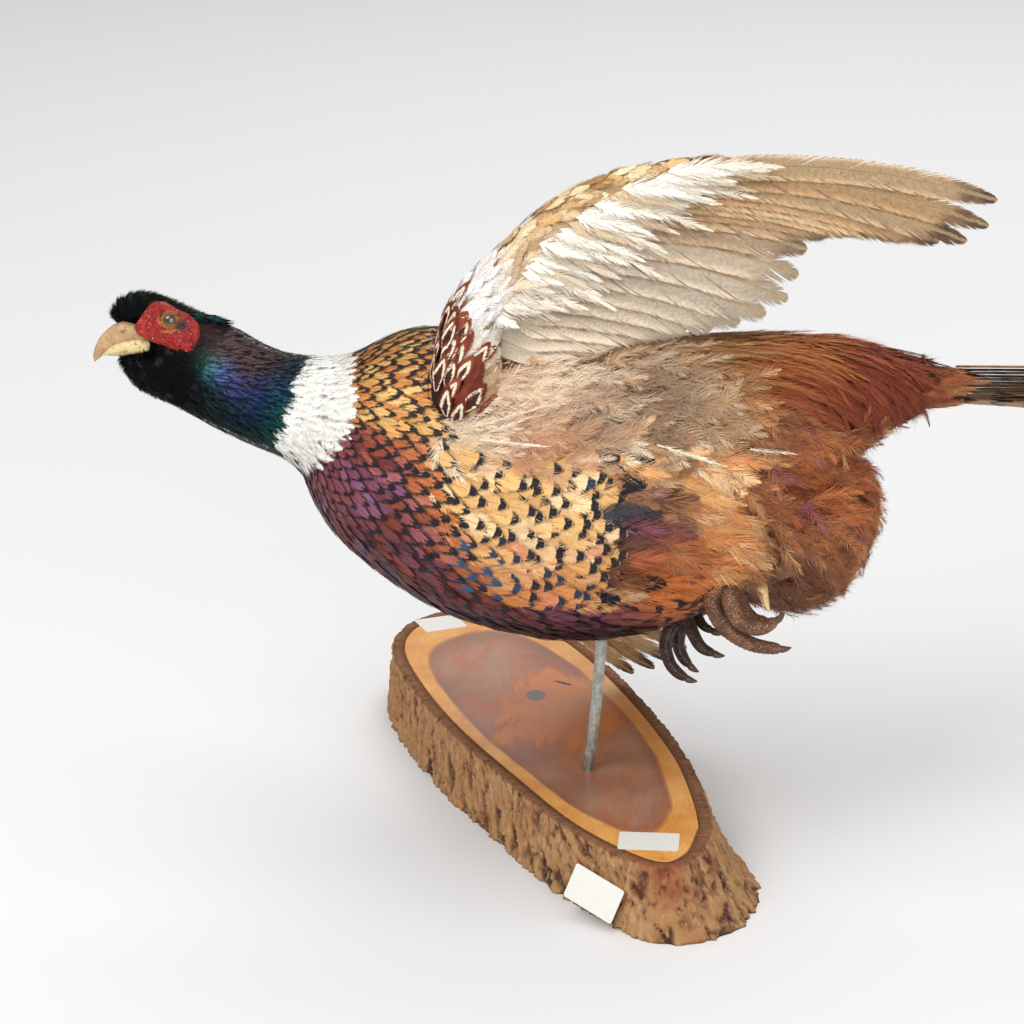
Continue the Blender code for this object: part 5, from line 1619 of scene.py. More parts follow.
def dress_wattles(material):
    """The red skin of the face with its lids, laid on the head's own form."""
    edit = bmesh.new()
    edit.from_mesh(NODES["head"].data)
    tree = BVHTree.FromBMesh(edit)
    edit.free()
    outline = spread((*WATTLE_OUTLINE, WATTLE_OUTLINE[0]), 161)[:-1]
    ex, ey, ez = EYE_CENTRE
    for label, sign in SIDES:
        outer, inner, tones = [], [], []
        for share in np.linspace(0.02, 1.0, 64):
            ring = (ex, ez) + (outline - (ex, ez)) * share
            x, z = ring.T
            share = np.full(len(x), share)
            side = np.minimum([head_side(tree, a, b, sign) for a, b in ring], 15.8)
            away = side + wattle_height(x, z, share)
            ball = ey + np.sqrt(np.clip(EYE_RADIUS ** 2 - (x - ex) ** 2 - (z - ez) ** 2, 0, None)) + 0.55
            lid = smooth_step(lid_ring(x, z), 0.92, 1.08)
            away = np.where(ball > ey + 0.6, away + lid * np.maximum(ball - away, 0), away)
            outer.append(columns(x, sign * away, z))
            inner.append(columns(x, sign * (side - 3.5), z))
            tones.append(wattle_colours(x, z, share))
        colour = np.concatenate(tones + tones[::-1] + [tones[0][:1], tones[0][:1]])
        mesh = form(f"face_{label}", outer + inner[::-1], colours={"Base": colour})
        fit(place(f"face_{label}", mesh, material), "wattle_red", f"wattle_{label}")
        set_grains(label, mesh.copy(), material)


def set_grains(label, mesh, material):
    """The small grains that stand on the red skin, clear of the lids and the pit behind the eye."""
    rng = np.random.default_rng(55)
    points = to_bird(read(mesh, "co"))
    x, y, z = points.T
    n = len(points)
    pit = np.hypot((x + 195.5) / 3.6, (z - 80.3) / 3.0)
    outer = np.arange(n) < n // 2 - 320
    colours, base = mesh.attributes["Base"], np.empty(n * 4)
    colours.data.foreach_get("color", base)
    base = base.reshape(-1, 4)[:, :3] * np.exp(rng.normal(size=(n, 1)) * 0.2)
    base = blend(base, (240, 190, 160), (rng.random(n) < 0.06) * 0.8)
    mesh.attributes.remove(colours)
    with_fields(mesh, amount=outer * (lid_ring(x, z) > 2.5) * (pit > 1.0), size=np.ones(n),
                lie=np.tile(TURN @ (1.0, 0, 0), (n, 1)), Base=base, root_uv=np.zeros((n, 2)))
    set_tufts(f"face_grain_{label}", mesh, grain_mesh(), material, "wattle_red", 0.72, 0.7, 1.25, 0.3, 9)


TUFT_PATH = ((-193, 10.2, 86), (-186, 10.6, 84.8), (-180, 10.4, 83.2), (-174, 9.9, 81.6))


def dress_ear_tufts(finishes):
    rng, n = np.random.default_rng(70), 150
    for label, sign in SIDES:
        spine = smooth_curve(TUFT_PATH, np.linspace(0, 2.2, n)) * np.array((1, sign, 1))
        turn = rng.uniform(-1.7, 1.7, n)
        away = columns(0, sign * np.cos(turn), np.sin(turn))
        start = spine + away * rng.uniform(0.0, 1.5, n)[:, None]
        ahead = unit(np.array((1.0, -0.02 * sign, -0.24)) + away * 0.10 + rng.normal(size=(n, 3)) * 0.09)
        path = along_ways(start, ahead, rng.uniform(4.5, 8.5, n), 4)
        path[:, :, 0] = np.minimum(path[:, :, 0], -165.5)
        base = varied(rng, n, (16, 18, 20), 0.2, (24, 60, 66), (14, 16, 18))
        bake = columns(rng.uniform(0.9, 0.92, n), rng.random(n))
        coat = Coat(f"ear_feathers_{label}", "plumage_dark")
        feathers(coat, path, np.repeat(away[:, None], 4, 1), 1.1, SILKY, rng, bake, base)
        coat.build(finishes["sheeny"], f"ear_tuft_{label}")


LEFT_SHANK = ((97, -31, -36), (90, -31, -39), (83, -30, -42), (74, -28, -45))
SHANK_RADII = (5.0, 4.2, 4.0, 4.4)
LEFT_PALM = (69, -28, -47)
LEFT_TOES = (
    ((66, -27, -43), (60, -27.5, -50), (63.5, -27, -61), (71, -26, -68.6), (81, -25, -73.5),
     (93, -24, -75.5)),
    ((70, -31, -44), (69, -33, -53), (72.3, -33.5, -60.5), (78, -33, -64.3), (84, -32.5, -64.7),
     (90.5, -32, -61.5)),
    ((73, -23, -44), (74, -20, -54), (80, -18, -61.5), (87, -17, -62.5)),
    ((76, -26, -42), (82, -23, -50), (89, -21, -52)),
)
LEFT_SPUR = ((82.5, -35, -42), (84.5, -36.5, -50), (87, -37.5, -57))
RIGHT_SHANK = ((84, 30, -42), (72, 28, -49), (61, 25, -56), (52, 23, -60))
RIGHT_PALM = (48, 22, -63)
RIGHT_TOES = (
    ((45, 22, -62), (39.8, 21, -74), (41.5, 20, -84), (45.6, 20, -89.4), (50, 20, -92.3)),
    ((48, 26, -62), (46.4, 28, -75), (48.5, 28, -82), (52, 28, -86.5)),
    ((49, 18, -60), (53, 14, -70), (57, 12, -76.5), (63, 12, -79.7)),
    ((54, 24, -59), (58, 20, -66), (63, 19, -69)),
)
RIGHT_SPUR = ((64, 26, -54), (68, 23, -58), (73, 21, -61))
TOE_RADII = (4.3, 3.0), (3.3, 2.6)  # of the front and the back toe, left and right
SPUR_RADII = (3.6, 2.3, 0.5)
CLAW_LENGTH, CLAW_CURL = 5.4, 1.7

# Legs


def limb(name, path, radii, material, sides=28, step=0.45, squash=1.0, scutes=0.0, pitch=2.6):
    """A round limb along a path. Its map Vane says how far along and round it each point is."""
    last = len(path) - 1
    radii = np.interp(np.linspace(0, 1, last + 1), np.linspace(0, 1, len(radii)), radii)
    count = int(np.linalg.norm(np.diff(np.array(path, float), axis=0), axis=1).sum() / step) + 2
    rows = smooth_curve([(*p, r) for p, r in zip(path, radii)], np.linspace(0, last, count))
    far, rings, side = way_along(rows[:, :3]), [], None
    turns = np.linspace(0, 2 * pi, sides, endpoint=False)
    for k, (*centre, thick) in enumerate(rows):
        ahead = unit(rows[min(k + 1, count - 1), :3] - rows[max(k - 1, 0), :3])
        if side is None:
            side = np.cross(ahead, (0, 0, 1.0) if abs(ahead[2]) < 0.8 else (0, 1.0, 0))
        side = unit(side - ahead * side.dot(ahead))
        scale = scutes * ((far[k] / pitch) % 1.0 - 0.5) * np.clip(np.cos(turns), 0, 1) ** 0.5
        end = min(far[k], far[-1] - far[k])
        radius = ((thick + scale) * (1 - 0.35 * np.exp(-end / (0.35 * thick))))[:, None]
        ring = centre + np.cos(turns)[:, None] * np.cross(side, ahead) * radius * squash
        rings.append(ring + np.sin(turns)[:, None] * side * radius)
    vane = columns(np.repeat(far, sides), np.tile(turns / (2 * pi), count))
    vane = np.concatenate([vane, vane[:1], vane[-sides:][:1]])
    return place(name, form(name, rings, uvs={"Vane": vane}), material)


def claw_path(toe):
    end, before = np.array(toe[-1], float), np.array(toe[-2], float)
    ahead = unit(end - before)
    down = np.cross(ahead, (0, 1.0, 0))
    return [end + ahead * (-0.6 + (CLAW_LENGTH + 0.6) * s) + down * CLAW_CURL * s * s
            for s in (0, 0.35, 0.7, 1)]


def dress_legs(leathers, horn, cream):
    for label, shank, (x, y, z), toes, spur, sizes, leather in (
            ("left", LEFT_SHANK, LEFT_PALM, LEFT_TOES, LEFT_SPUR, TOE_RADII[0], leathers[0]),
            ("right", RIGHT_SHANK, RIGHT_PALM, RIGHT_TOES, RIGHT_SPUR, TOE_RADII[1], leathers[1])):
        fit(limb(f"leg_{label}", shank, SHANK_RADII, leather, 36, 0.4, scutes=0.45, pitch=3.0), "leg_scale",
            f"shank_{label}")
        pieces = []
        for k, toe in enumerate(toes):
            radii = np.array((1.15, 1.0, 0.92, 0.86, 0.66)) * sizes[k == len(toes) - 1]
            pieces.append(limb(f"toe_{label}_{k}", toe, radii, leather, 28, 0.3, scutes=0.42, pitch=2.2))
            claw = limb(f"nail_{label}_{k + 1}", claw_path(toe), (1.75, 1.5, 1.0, 0.25), horn, 20, 0.25,
                        1.15)
            fit(claw, "claw_horn", f"claw_{label}_{k + 1}")
        sole = ((x - 5, y, z + 1.5), (x, y, z), (x + 5, y, z + 1))
        pieces.append(limb(f"sole_{label}", sole, (4.5, 6.6, 5.0), leather, 36, 0.4, 0.8))
        fit(joined(f"toes_{label}", pieces), "leg_scale", f"foot_{label}")
        fit(limb(f"prong_{label}", spur, SPUR_RADII, cream, 24, 0.25), "spur_cream", f"spur_{label}")


def joined(name, pieces):
    """One object of all these, with the mesh data of the first kept."""
    with bpy.context.temp_override(active_object=pieces[0], selected_editable_objects=pieces,
                                   selected_objects=pieces, object=pieces[0]):
        bpy.ops.object.join()
    pieces[0].name = name
    return pieces[0]


# Tufts set over a surface by Geometry Nodes


def tuft_mesh(name, blades, length, wide, lean, rng):
    """A few blades that grow from one root and lean along +Y, in metres."""
    points, triangles, uvs = [], [], []
    for first in range(0, 5 * blades, 5):
        turn = rng.uniform(-0.5, 0.5)
        size = length * rng.uniform(0.75, 1.15)
        tilt = lean * rng.uniform(0.8, 1.1)
        root = np.array((rng.uniform(-0.5, 0.5) * wide * 3, rng.uniform(-0.4, 0.4) * wide * 3, 0))
        way = np.array((sin(turn) * sin(tilt), cos(turn) * sin(tilt), cos(tilt)))
        side = unit(np.cross(way, (0, 0, 1.0))) * wide / 2
        for share, half in ((0.0, 1.0), (0.55, 0.85), (1.0, 0.0)):
            centre = root + way * size * share + np.array((0, 0.18, -0.10)) * size * share * share
            points += [centre - side * half, centre + side * half] if half else [centre]
            uvs += [(0.2, share), (0.8, share)] if half else [(0.5, share)]
        triangles += [(first, first + 1, first + 3), (first, first + 3, first + 2),
                      (first + 2, first + 3, first + 4)]
    return make_mesh(name, np.array(points) * MM, np.array(triangles), None, {"Vane": np.array(uvs)})


def tuft_tree():
    """Spaced points on a surface, each with a tuft that stands on it and leans with its lie attribute."""
    tree, g, given, out = new_group("set_tufts", {
        "Geometry": ("Geometry", None), "Tuft": ("Object", None), "Finish": ("Material", None),
        "Spacing": ("Float", 0.0015), "Density": ("Float", 2500000.0), "Smallest": ("Float", 0.8),
        "Largest": ("Float", 1.2), "Stray": ("Float", 0.2), "Seed": ("Int", 1),
        "Patch": ("Float", BAKE_PATCH)},
        ("Geometry",), "GeometryNodeTree")

    def named(label, kind="FLOAT_VECTOR"):
        return g.node("GeometryNodeInputNamedAttribute", {"Name": label},
                      data_type=kind).outputs["Attribute"]

    def vector(operation, values):
        return g.node("ShaderNodeVectorMath", values, operation=operation).outputs[0]

    def first(kind, values, **settings):
        return g.node(kind, values, **settings).outputs[0]

    points = g.node("GeometryNodeDistributePointsOnFaces", {
        "Mesh": given["Geometry"], "Distance Min": given["Spacing"], "Density Max": given["Density"],
        "Density Factor": named("amount", "FLOAT"), "Seed": given["Seed"]},
        distribute_method="POISSON").outputs
    turn = first("FunctionNodeAlignRotationToVector", {"Vector": points["Normal"]}, axis="Z")
    turn = first("FunctionNodeAlignRotationToVector", {"Rotation": turn, "Vector": named("lie")}, axis="Y",
                 pivot_axis="Z")
    low, high = (vector("SCALE", {0: (way, way, way), "Scale": given["Stray"]}) for way in (-1.0, 1.0))
    chance = first("FunctionNodeRandomValue", {0: low, 1: high, "Seed": given["Seed"]},
                   data_type="FLOAT_VECTOR")
    turn = first("FunctionNodeRotateRotation", {"Rotation": turn, "Rotate By": chance},
                 rotation_space="LOCAL")
    size = g.node("FunctionNodeRandomValue",
                  {2: given["Smallest"], 3: given["Largest"], "Seed": given["Seed"]},
                  data_type="FLOAT").outputs[1]
    shape = g.node("GeometryNodeObjectInfo", {"Object": given["Tuft"]}).outputs["Geometry"]
    tufts = first("GeometryNodeInstanceOnPoints", {
        "Points": points["Points"], "Instance": shape, "Rotation": turn,
        "Scale": g.times(size, named("size", "FLOAT"))})
    bake = vector("SCALE",
                  {0: vector("SUBTRACT", {0: named("Vane"), 1: (0.5, 0.5, 0.0)}), "Scale": given["Patch"]})
    bake = vector("ADD", {0: bake, 1: named("root_uv")})
    solid = first("GeometryNodeRealizeInstances", {"Geometry": tufts})
    solid = first("GeometryNodeStoreNamedAttribute", {"Geometry": solid, "Name": "OFBake", "Value": bake},
                  data_type="FLOAT2", domain="CORNER")
    g.set(out["Geometry"],
          first("GeometryNodeSetMaterial", {"Geometry": solid, "Material": given["Finish"]}))
    return tree


def set_tufts(name, mesh, tuft, material, slot, spacing, smallest, largest, stray, seed):
    """A piece of tufts over this mesh, which carries amount, size, lie, root_uv and its colours."""
    shape, piece = place(f"{name}_one", tuft), place(name, mesh)
    wear = piece.modifiers.new("tufts", "NODES")
    wear.node_group = once(tuft_tree)
    values = {"Tuft": shape, "Finish": material, "Spacing": spacing * MM, "Smallest": smallest,
              "Largest": largest, "Stray": stray, "Seed": seed}
    for socket in wear.node_group.interface.items_tree:
        if socket.name in values:
            wear[socket.identifier] = values[socket.name]
    solved(piece)
    bpy.data.objects.remove(shape, do_unlink=True)
    fit(piece, slot)


def opaque(rows):
    """Colours with a fourth column of 1 where they have only three."""
    rows = np.asarray(rows, np.float32)
    return rows if rows.shape[1] == 4 else np.hstack([rows, np.ones((len(rows), 1), np.float32)])


def with_fields(mesh, **fields):
    """Adds point attributes to a mesh. Three columns under a name with a capital letter are a colour."""
    for name, rows in fields.items():
        rows = np.asarray(rows, np.float32)
        kind, reader = {1: ("FLOAT", "value"), 2: ("FLOAT2", "vector"),
                        3: ("FLOAT_VECTOR", "vector")}[rows.size // len(rows)]
        if kind == "FLOAT_VECTOR" and name.istitle():
            kind, reader, rows = "FLOAT_COLOR", "color", opaque(rows)
        mesh.attributes.new(name, kind, "POINT").data.foreach_set(reader, rows.ravel())
    return mesh


def crown_height(points):
    """Where the black feathers of the forehead and crown stand up."""
    return smooth_step(points[:, 2], 86, 94) * smooth_step(points[:, 0], -180, -200)


def head_colours(points, rng):
    brown = near(points, (-186, 90, 7), (-176, 84, 8))
    n = len(points)
    return layered(neck_colours(points, rng),
                   (varied(rng, n, (16, 18, 16), 0.3, (26, 46, 30), (14, 16, 16)), crown_height(points)),
                   (varied(rng, n, (64, 48, 44), 0.15, (80, 60, 52)), np.clip(brown, 0, 0.8)),
                   # The grey specks are painted highlights on the black velvet.
                   ((104, 106, 104), (rng.random(n) < 0.06) * 0.5))


def dress_head(surface, finishes):
    """Velvety short feathers over the head, longest on the crown."""
    near_head = surface.points[:, 0] < -172
    place_of = np.cumsum(near_head) - 1
    faces = surface.triangles[np.all(near_head[surface.triangles], axis=1)]
    points = surface.points[near_head]
    rng = np.random.default_rng(60)
    mesh = make_mesh("velvet", to_world(points), place_of[faces])
    base = head_colours(points, rng)
    size = 0.75 + 0.25 * crown_height(points) + 0.65 * smooth_step(points[:, 0], -222, -230)
    with_fields(mesh, amount=smooth_step(head_score(points), -6, 0) * ~bare_face(points), size=size,
                lie=side_guides(points) @ TURN.T, Base=base, Mark=base * 0.4, Kind=base * 0,
                root_uv=unwrapped(points))
    tuft = tuft_mesh("velvet_tuft", 6, 3.0, 0.40, 0.68, rng)
    set_tufts("head_velvet", mesh, tuft, finishes["velvet"], "plumage_dark", 0.95, 0.8, 1.25, 0.3, 7)


def grain_mesh():
    """A low rounded grain of red skin."""
    edit = bmesh.new()
    bmesh.ops.create_icosphere(edit, subdivisions=1, radius=0.42 * MM)
    mesh = bpy.data.meshes.new("grain")
    edit.to_mesh(mesh)
    edit.free()
    mesh.shade_smooth()
    mesh.uv_layers.new(name="Vane")
    return mesh


SLAB_THICK, SLAB_TURN = 36.0, 106.2
SLAB_OUTLINE = (
    (-123, 4), (-108, -12), (-62, -30), (6, -42), (69, -51), (128, -54), (184, -51), (218, -37), (236, -12),
    (235, 16), (212, 39), (160, 52), (90, 57), (17, 56), (-34, 50), (-86, 38), (-113, 22),
)
BARK_THICK, BARK_SPREAD, BARK_FLARE = 6.5, 2.5, 22.0
FLARE_AT, FLARE_SPREAD, FLARE_SIDE = (-88.0, 40.0), 70.0, (-18.0, 18.0)
ROD_RADIUS, ROD_SOCKET, ROD_LEAN, ROD_TOP, ROD_BOW = 2.75, 14.0, (9.3, 1.0), 130.0, 1.5
BARK_STEPS, BARK_LEVELS = 760, 26
HEART_MIDDLE = (60.0, 2.0)


def slab_outline(count):
    """Evenly spaced points of the slab's edge at the top, the directions square to it and the way round."""
    edge = spread((*SLAB_OUTLINE[-2:], *SLAB_OUTLINE, *SLAB_OUTLINE[:3]), 1200)
    turn = np.unwrap(np.arctan2(edge[:, 1] - edge[:, 1].mean(), edge[:, 0] - edge[:, 0].mean()))
    edge = edge[np.abs(turn - turn[0]) < 2 * pi]
    around = way_along(edge)[-1]
    edge = read_along(edge, np.linspace(0, around, count + 1)[:-1])
    ahead = unit(np.roll(edge, -1, axis=0) - np.roll(edge, 1, axis=0))
    out = columns(ahead[:, 1], -ahead[:, 0])
    return edge, out * np.sign((out * (edge - edge.mean(0))).sum()), around


def to_table(flat, height):
    """World metres of places on the slab's own axes."""
    turn = radians(SLAB_TURN)
    x = flat[..., 0] * cos(turn) + flat[..., 1] * sin(turn)
    return columns(x, flat[..., 0] * sin(turn) - flat[..., 1] * cos(turn), height) * MM


def dress_wood(material):
    """The sawn and varnished wood, whose rings follow the slab's outline."""
    edge, out, around = slab_outline(360)
    core = edge - out * (BARK_THICK - 0.05)
    middle = np.array(HEART_MIDDLE)
    levels = [(s, s, 0.0) for s in (0.001, 0.25, 0.5, 0.75, 0.9, 0.985)]
    levels += [(1.0, 1.0, 0.6), (1.0, 1.0, SLAB_THICK - 0.7)]
    levels += [(max(s, 0.001), s, SLAB_THICK) for s in np.linspace(0.995, 0.0, 46)]
    mesh = form("wood", [to_table(middle + (core - middle) * s, height) for s, share, height in levels],
                np.asarray)
    with_fields(mesh, Share=np.concatenate([np.repeat([share for s, share, height in levels], len(core)),
                                            [0.0, 0.0]]))
    mesh.shade_flat()
    fit(place("wood", mesh, material), "slab_wood", "base_wood")


def ridge_noise(points, size, seed):
    """Sharp ridges with wide troughs, 0 to 1."""
    return 1 - np.abs(wave_noise(points, size, seed, 3)).clip(0, 1)


def dress_bark(material):
    """The bark: low plates and cracks that run up the slab's side, flaring at the near right."""
    edge, out, around = slab_outline(BARK_STEPS)
    flare = BARK_FLARE * np.exp(-(np.linalg.norm(edge - FLARE_AT, axis=1) / FLARE_SPREAD) ** 2)
    flare = BARK_SPREAD + flare * np.interp(edge[:, 1], FLARE_SIDE, (0.0, 1.0))
    rings, tone = [], []
    turn = np.linspace(0, around, BARK_STEPS, endpoint=False) / around * 2 * pi
    for level in np.linspace(0, 1, BARK_LEVELS):
        reach = np.interp(level, (0, 0.45, 1), (1.0, 0.42, 0.0))
        places = columns(np.cos(turn) * around / (2 * pi), np.sin(turn) * around / (2 * pi),
                         level * SLAB_THICK)
        lean = places + np.outer(places[:, 2], (0.35, 0.2, 0))
        ridges = ridge_noise(lean * (1, 1, 0.40), 17.0, 81) * 0.6
        ridges = ridges + ridge_noise(lean * (1, 1, 0.7), 8.0, 82) * 0.4
        cracks = smooth_step(np.abs(wave_noise(lean * (1, 1, 0.35), 13.0, 84, 2)), 0.10, 0.0)
        flakes = wave_noise(lean * (1, 1, 1.6), 6.0, 83)
        whole = np.interp(level, (0, 0.85, 1), (1.0, 1.0, 0.45))
        stand = reach * flare + whole * (4.4 * (ridges - 0.72) + 0.8 * flakes - 2.0 * cracks)
        rings.append(to_table(edge + out * stand[:, None], level * SLAB_THICK))
        # The tone is pale on the ridges and dark in the cracks: partly the bark's own colour, partly painted
        # shade in the furrows.
        tone.append(np.clip(ridges - 0.5 * cracks + 0.12 * flakes, 0, 1))
    rings += [to_table(edge - out * (BARK_THICK - 0.35), height) for height in (SLAB_THICK, 0.0)]
    points, triangles, quads = loft([*rings, rings[0]], False)
    n = BARK_STEPS * len(rings)
    mesh = outward(make_mesh("bark", points[:n], None, np.where(quads >= n, quads - n, quads)))
    with_fields(mesh, Ridge=np.concatenate([*tone, np.full(2 * BARK_STEPS, 0.35)]))
    fit(place("bark", mesh, material), "slab_bark", "base_bark")


def dress_rod(material):
    low, rings = SLAB_THICK - ROD_SOCKET, []
    turns = np.linspace(0, 2 * pi, 40, endpoint=False)
    for s in np.linspace(0, 1, 90):
        centre = np.array((ROD_LEAN[0] * s + ROD_BOW * sin(pi * s), ROD_LEAN[1] * s,
                           low + (ROD_TOP - low) * s))
        wear = 1 + 0.006 * np.sin(3 * turns + 9 * s)
        rings.append(centre + columns(np.cos(turns) * wear, np.sin(turns) * wear, 0) * ROD_RADIUS)
    fit(place("wire", form("wire", np.array(rings) * MM, np.asarray), material), "rod_steel", "rod")


LABELS = (                   # middle, the long side's heading, the short side's rise, the turn, both sides
    ((29.4, -87.3, 36.0), -4.6, 0.0, 0.0, 29.0, 20.5), ((-75.3, 206.4, 36.0), 22.0, 0.0, 0.0, 24.0, 20.0),
    ((3.0, -102.6, 15.8), -36.0, 70.0, -13.0, 30.0, 17.5),
)
LABEL_RING = ((-1, -0.9), (-0.94, -1), (0, -1), (0.94, -1), (1, -0.9), (1, 0), (1, 0.9), (0.94, 1), (0, 1),
              (-0.94, 1), (-1, 0.9), (-1, 0))


def dress_labels(material, count):
    """Blank paper labels, two on the slab's top and one leaning on its bark."""
    for k, (middle, turn, rise, spin, long_side, short_side) in enumerate(LABELS[:count]):
        turn, rise, spin = radians(turn), radians(rise), radians(spin)
        ahead = np.array((cos(turn), sin(turn), 0))
        up = np.array((-ahead[1] * cos(rise), ahead[0] * cos(rise), sin(rise)))
        square = np.cross(ahead, up)
        ahead, up = ahead * cos(spin) + up * sin(spin), up * cos(spin) - ahead * sin(spin)
        rings = [[middle + ahead * a * long_side / 2 + up * b * short_side / 2 + square * height
                  for a, b in LABEL_RING] for height in (0.02, 0.18)]
        label = place(f"label_{k + 1}", form("label", np.array(rings) * MM, np.asarray), material)
        label.data.shade_flat()
        fit(label, "ring_white")


def flight_marks():
    """The dark line along a flight feather's edge, its brown tip and specks, and the shade on it."""
    tree, g, given, out, across, along, rough, (red, green, blue) = vane_group(
        "flight_marks", 90.0, 3.0, ("Mask", "Quill", "Shade"))
    edge = g.ramp(g.size(g.less(g.line(rough, 0.16, across), 0.90)), 0.12, 0.04)
    edge = g.times(g.times(edge, red), 0.95)
    tip = g.times(g.ramp(g.line(rough, 0.25, along), 0.80, 0.98), green)
    speck = g.times(g.times(g.clouds(420.0, 0.52, 0.66), blue), 0.4)
    g.set(out["Mask"], g.most(g.most(edge, tip), speck, clamp=True))
    g.set(out["Quill"], g.ramp(across, 0.10, 0.05))
    # Painted shade: darker near the quill, where the feather over it lies, and lighter towards the free
    # edge.
    g.set(out["Shade"], g.ramp(across, 0.40, 0.92, 0.60, 1.14))
    return tree


def tail_marks():
    """Black bars over the middle of a tail feather and its soft edge."""
    tree, g, given, out, across, along, rough, (red, green, blue) = vane_group(
        "tail_marks", 130.0, 3.0, ("Mask", "Edge", "Quill"), Bars=("Float", 26.0))
    wave = g.line(along, g.times(green, given["Bars"]), g.times(rough, 0.9))
    wave = g.times(g.less(wave, g.times(across, 0.35)), 6.283)
    bars = g.ramp(g.math("SINE", wave), 0.38, 0.74)
    g.set(out["Mask"], g.times(bars, g.ramp(g.line(rough, 0.5, across), 0.88, 0.64)))
    g.set(out["Edge"], g.ramp(g.line(rough, 0.3, across), 0.62, 0.9))
    g.set(out["Quill"], g.ramp(across, 0.07, 0.04))
    return tree


def once(make):
    """What this function makes, made the first time that it is asked for."""
    if make not in MADE:
        MADE[make] = make()
    return MADE[make]


def small_finish(name, roughness=0.55, metallic=0.0, specular=0.3):
    """Feathers coloured by their Base and Mark attributes, with the marks that Kind asks for."""
    g = Finish(name, roughness, metallic, specular)
    vane = g.node("ShaderNodeUVMap", uv_map="Vane").outputs["UV"]
    lines = g.group(once(barb_lines), Vane=vane, Fineness=26.0)
    marks = g.group(once(tip_marks), Vane=vane, Kind=g.attribute("Kind"), Rim=g.attribute("Kind", "Alpha"))
    colour = g.layers(g.attribute("Base"), (marks["Core"], 0.8, (38, 20, 16)),
                      (marks["Mask"], 1, g.attribute("Mark")))
    return g.done(g.shaded(colour, lines["Shade"]), lines["Height"], 0.5, 0.00015)


def long_finish(name, roughness, specular, make_marks, fineness, slant, edge, quill):
    """A flight or tail feather's finish: barbs, a soft edge, the marks and the quill."""
    g = Finish(name, roughness, specular=specular)
    vane = g.node("ShaderNodeUVMap", uv_map="Vane").outputs["UV"]
    marks = g.group(make_marks(), Vane=vane, Kind=g.attribute("Kind"))
    lines = g.group(once(barb_lines), Vane=vane, Fineness=fineness, Slant=slant)
    colour, shade = g.attribute("Base"), lines["Shade"]
    if edge:
        colour = g.mix(marks["Edge"], colour, edge)
    else:
        # Flight feathers also take the painted shade of flight_marks.
        shade = g.times(shade, marks["Shade"])
    colour = g.layers(colour, (marks["Mask"], 1, g.attribute("Mark")), (marks["Quill"], *quill))
    return g.done(g.shaded(colour, shade), lines["Height"], 0.4, 0.0001)


def skin_finish():
    g = Finish("skin_down", 0.9, specular=0.2)
    rough = g.noise(g.position(), 900.0)
    return g.done(g.shaded(g.attribute("Base"), g.ramp(rough, 0.3, 0.7, 0.6, 1.1)), rough, 0.6, 0.0006)


def horn_finish(name, pale, dark, roughness, scale, coat=0.0):
    """Horn with specks and streaks of a darker shade."""
    g = Finish(name, roughness, coat=coat)
    speck = g.clouds(scale, 0.52, 0.70, 4.0)
    colour = g.layers(pale, (speck, 0.8, dark), (g.clouds(scale * 0.2, 0.35, 0.75), 0.35, dark))
    return g.done(colour, g.noise(g.position(), scale * 1.6), 0.35, 0.0002,
                  g.ramp(speck, 0.0, 1.0, roughness, roughness + 0.2))


def eye_finish():
    """A brown glass eye whose iris and pupil look out to the bird's left and right."""
    g = Finish("glass_eye", 0.06, specular=0.7, coat=1.0, coat_roughness=0.03)
    here = g.parts(g.position())
    across = np.cross(TURN @ (0, 1.0, 0), (1.0, 0, 0))
    far = []
    for sign in (-1, 1):
        u, v, w = (g.less(part, float(at)) for part, at in zip(here, to_world(EYE_CENTRE * (1, sign, 1))))
        v = g.plus(g.times(v, float(across[1])), g.times(w, float(across[2])))
        far.append(g.math("POWER", g.plus(g.times(u, u), g.times(v, v)), 0.5))
    left = g.math("LESS_THAN", here["Y"], 0.0)
    radius = g.plus(g.times(far[0], left), g.times(far[1], g.less(1.0, left)))
    iris = g.mix(g.ramp(radius, IRIS_RADIUS * MM * 0.75, IRIS_RADIUS * MM), (70, 50, 40), (42, 26, 18))
    return g.done(g.mix(g.ramp(radius, PUPIL_RADIUS * MM, PUPIL_RADIUS * MM * 0.9), iris, (30, 32, 38)))


def wattle_finish():
    g = Finish("red_skin", 0.55)
    grain = g.node("ShaderNodeTexVoronoi", {"Vector": g.position(), "Scale": 1100.0}).outputs["Distance"]
    colour = g.shaded(g.attribute("Base"), g.ramp(grain, 0.1, 0.8, 1.15, 0.55))
    return g.done(colour, g.less(1.0, grain), 0.9, 0.0007,
                  g.ramp(g.noise(g.position(), 500.0), 0.3, 0.7, 0.42, 0.7))


def leg_finish(name, pale, dark):
    """Glossy leather in small round scales."""
    g = Finish(name, 0.45, coat=0.15, coat_roughness=0.35)
    cells = g.node("ShaderNodeTexVoronoi", {"Vector": g.position(), "Scale": 820.0},
                   feature="DISTANCE_TO_EDGE")
    edge = g.ramp(cells.outputs["Distance"], 0.02, 0.13)
    colour = g.mix(g.clouds(120.0, 0.35, 0.65), dark, pale)
    # The flecks brighter than the pale leather are painted glints on the glossy scales.
    colour = g.mix(edge, dark * 0.8, g.layers(colour, (g.clouds(330.0, 0.55, 0.75), 0.5, pale * 1.5)))
    return g.done(colour, g.plus(edge, g.noise(g.position(), 420.0)), 1.0, 0.0009,
                  g.ramp(edge, 0.0, 1.0, 0.6, 0.28))


def spot(g, x, y, half_x, half_y, vector=None):
    """Distance from a place on the slab's top, 1 at these half axes."""
    moved = g.stretched((1 / half_x, 1 / half_y, 0.0), 0.0, (-x / half_x, -y / half_y, 0.0), vector)
    return g.node("ShaderNodeVectorMath", {0: moved}, operation="LENGTH").outputs["Value"]


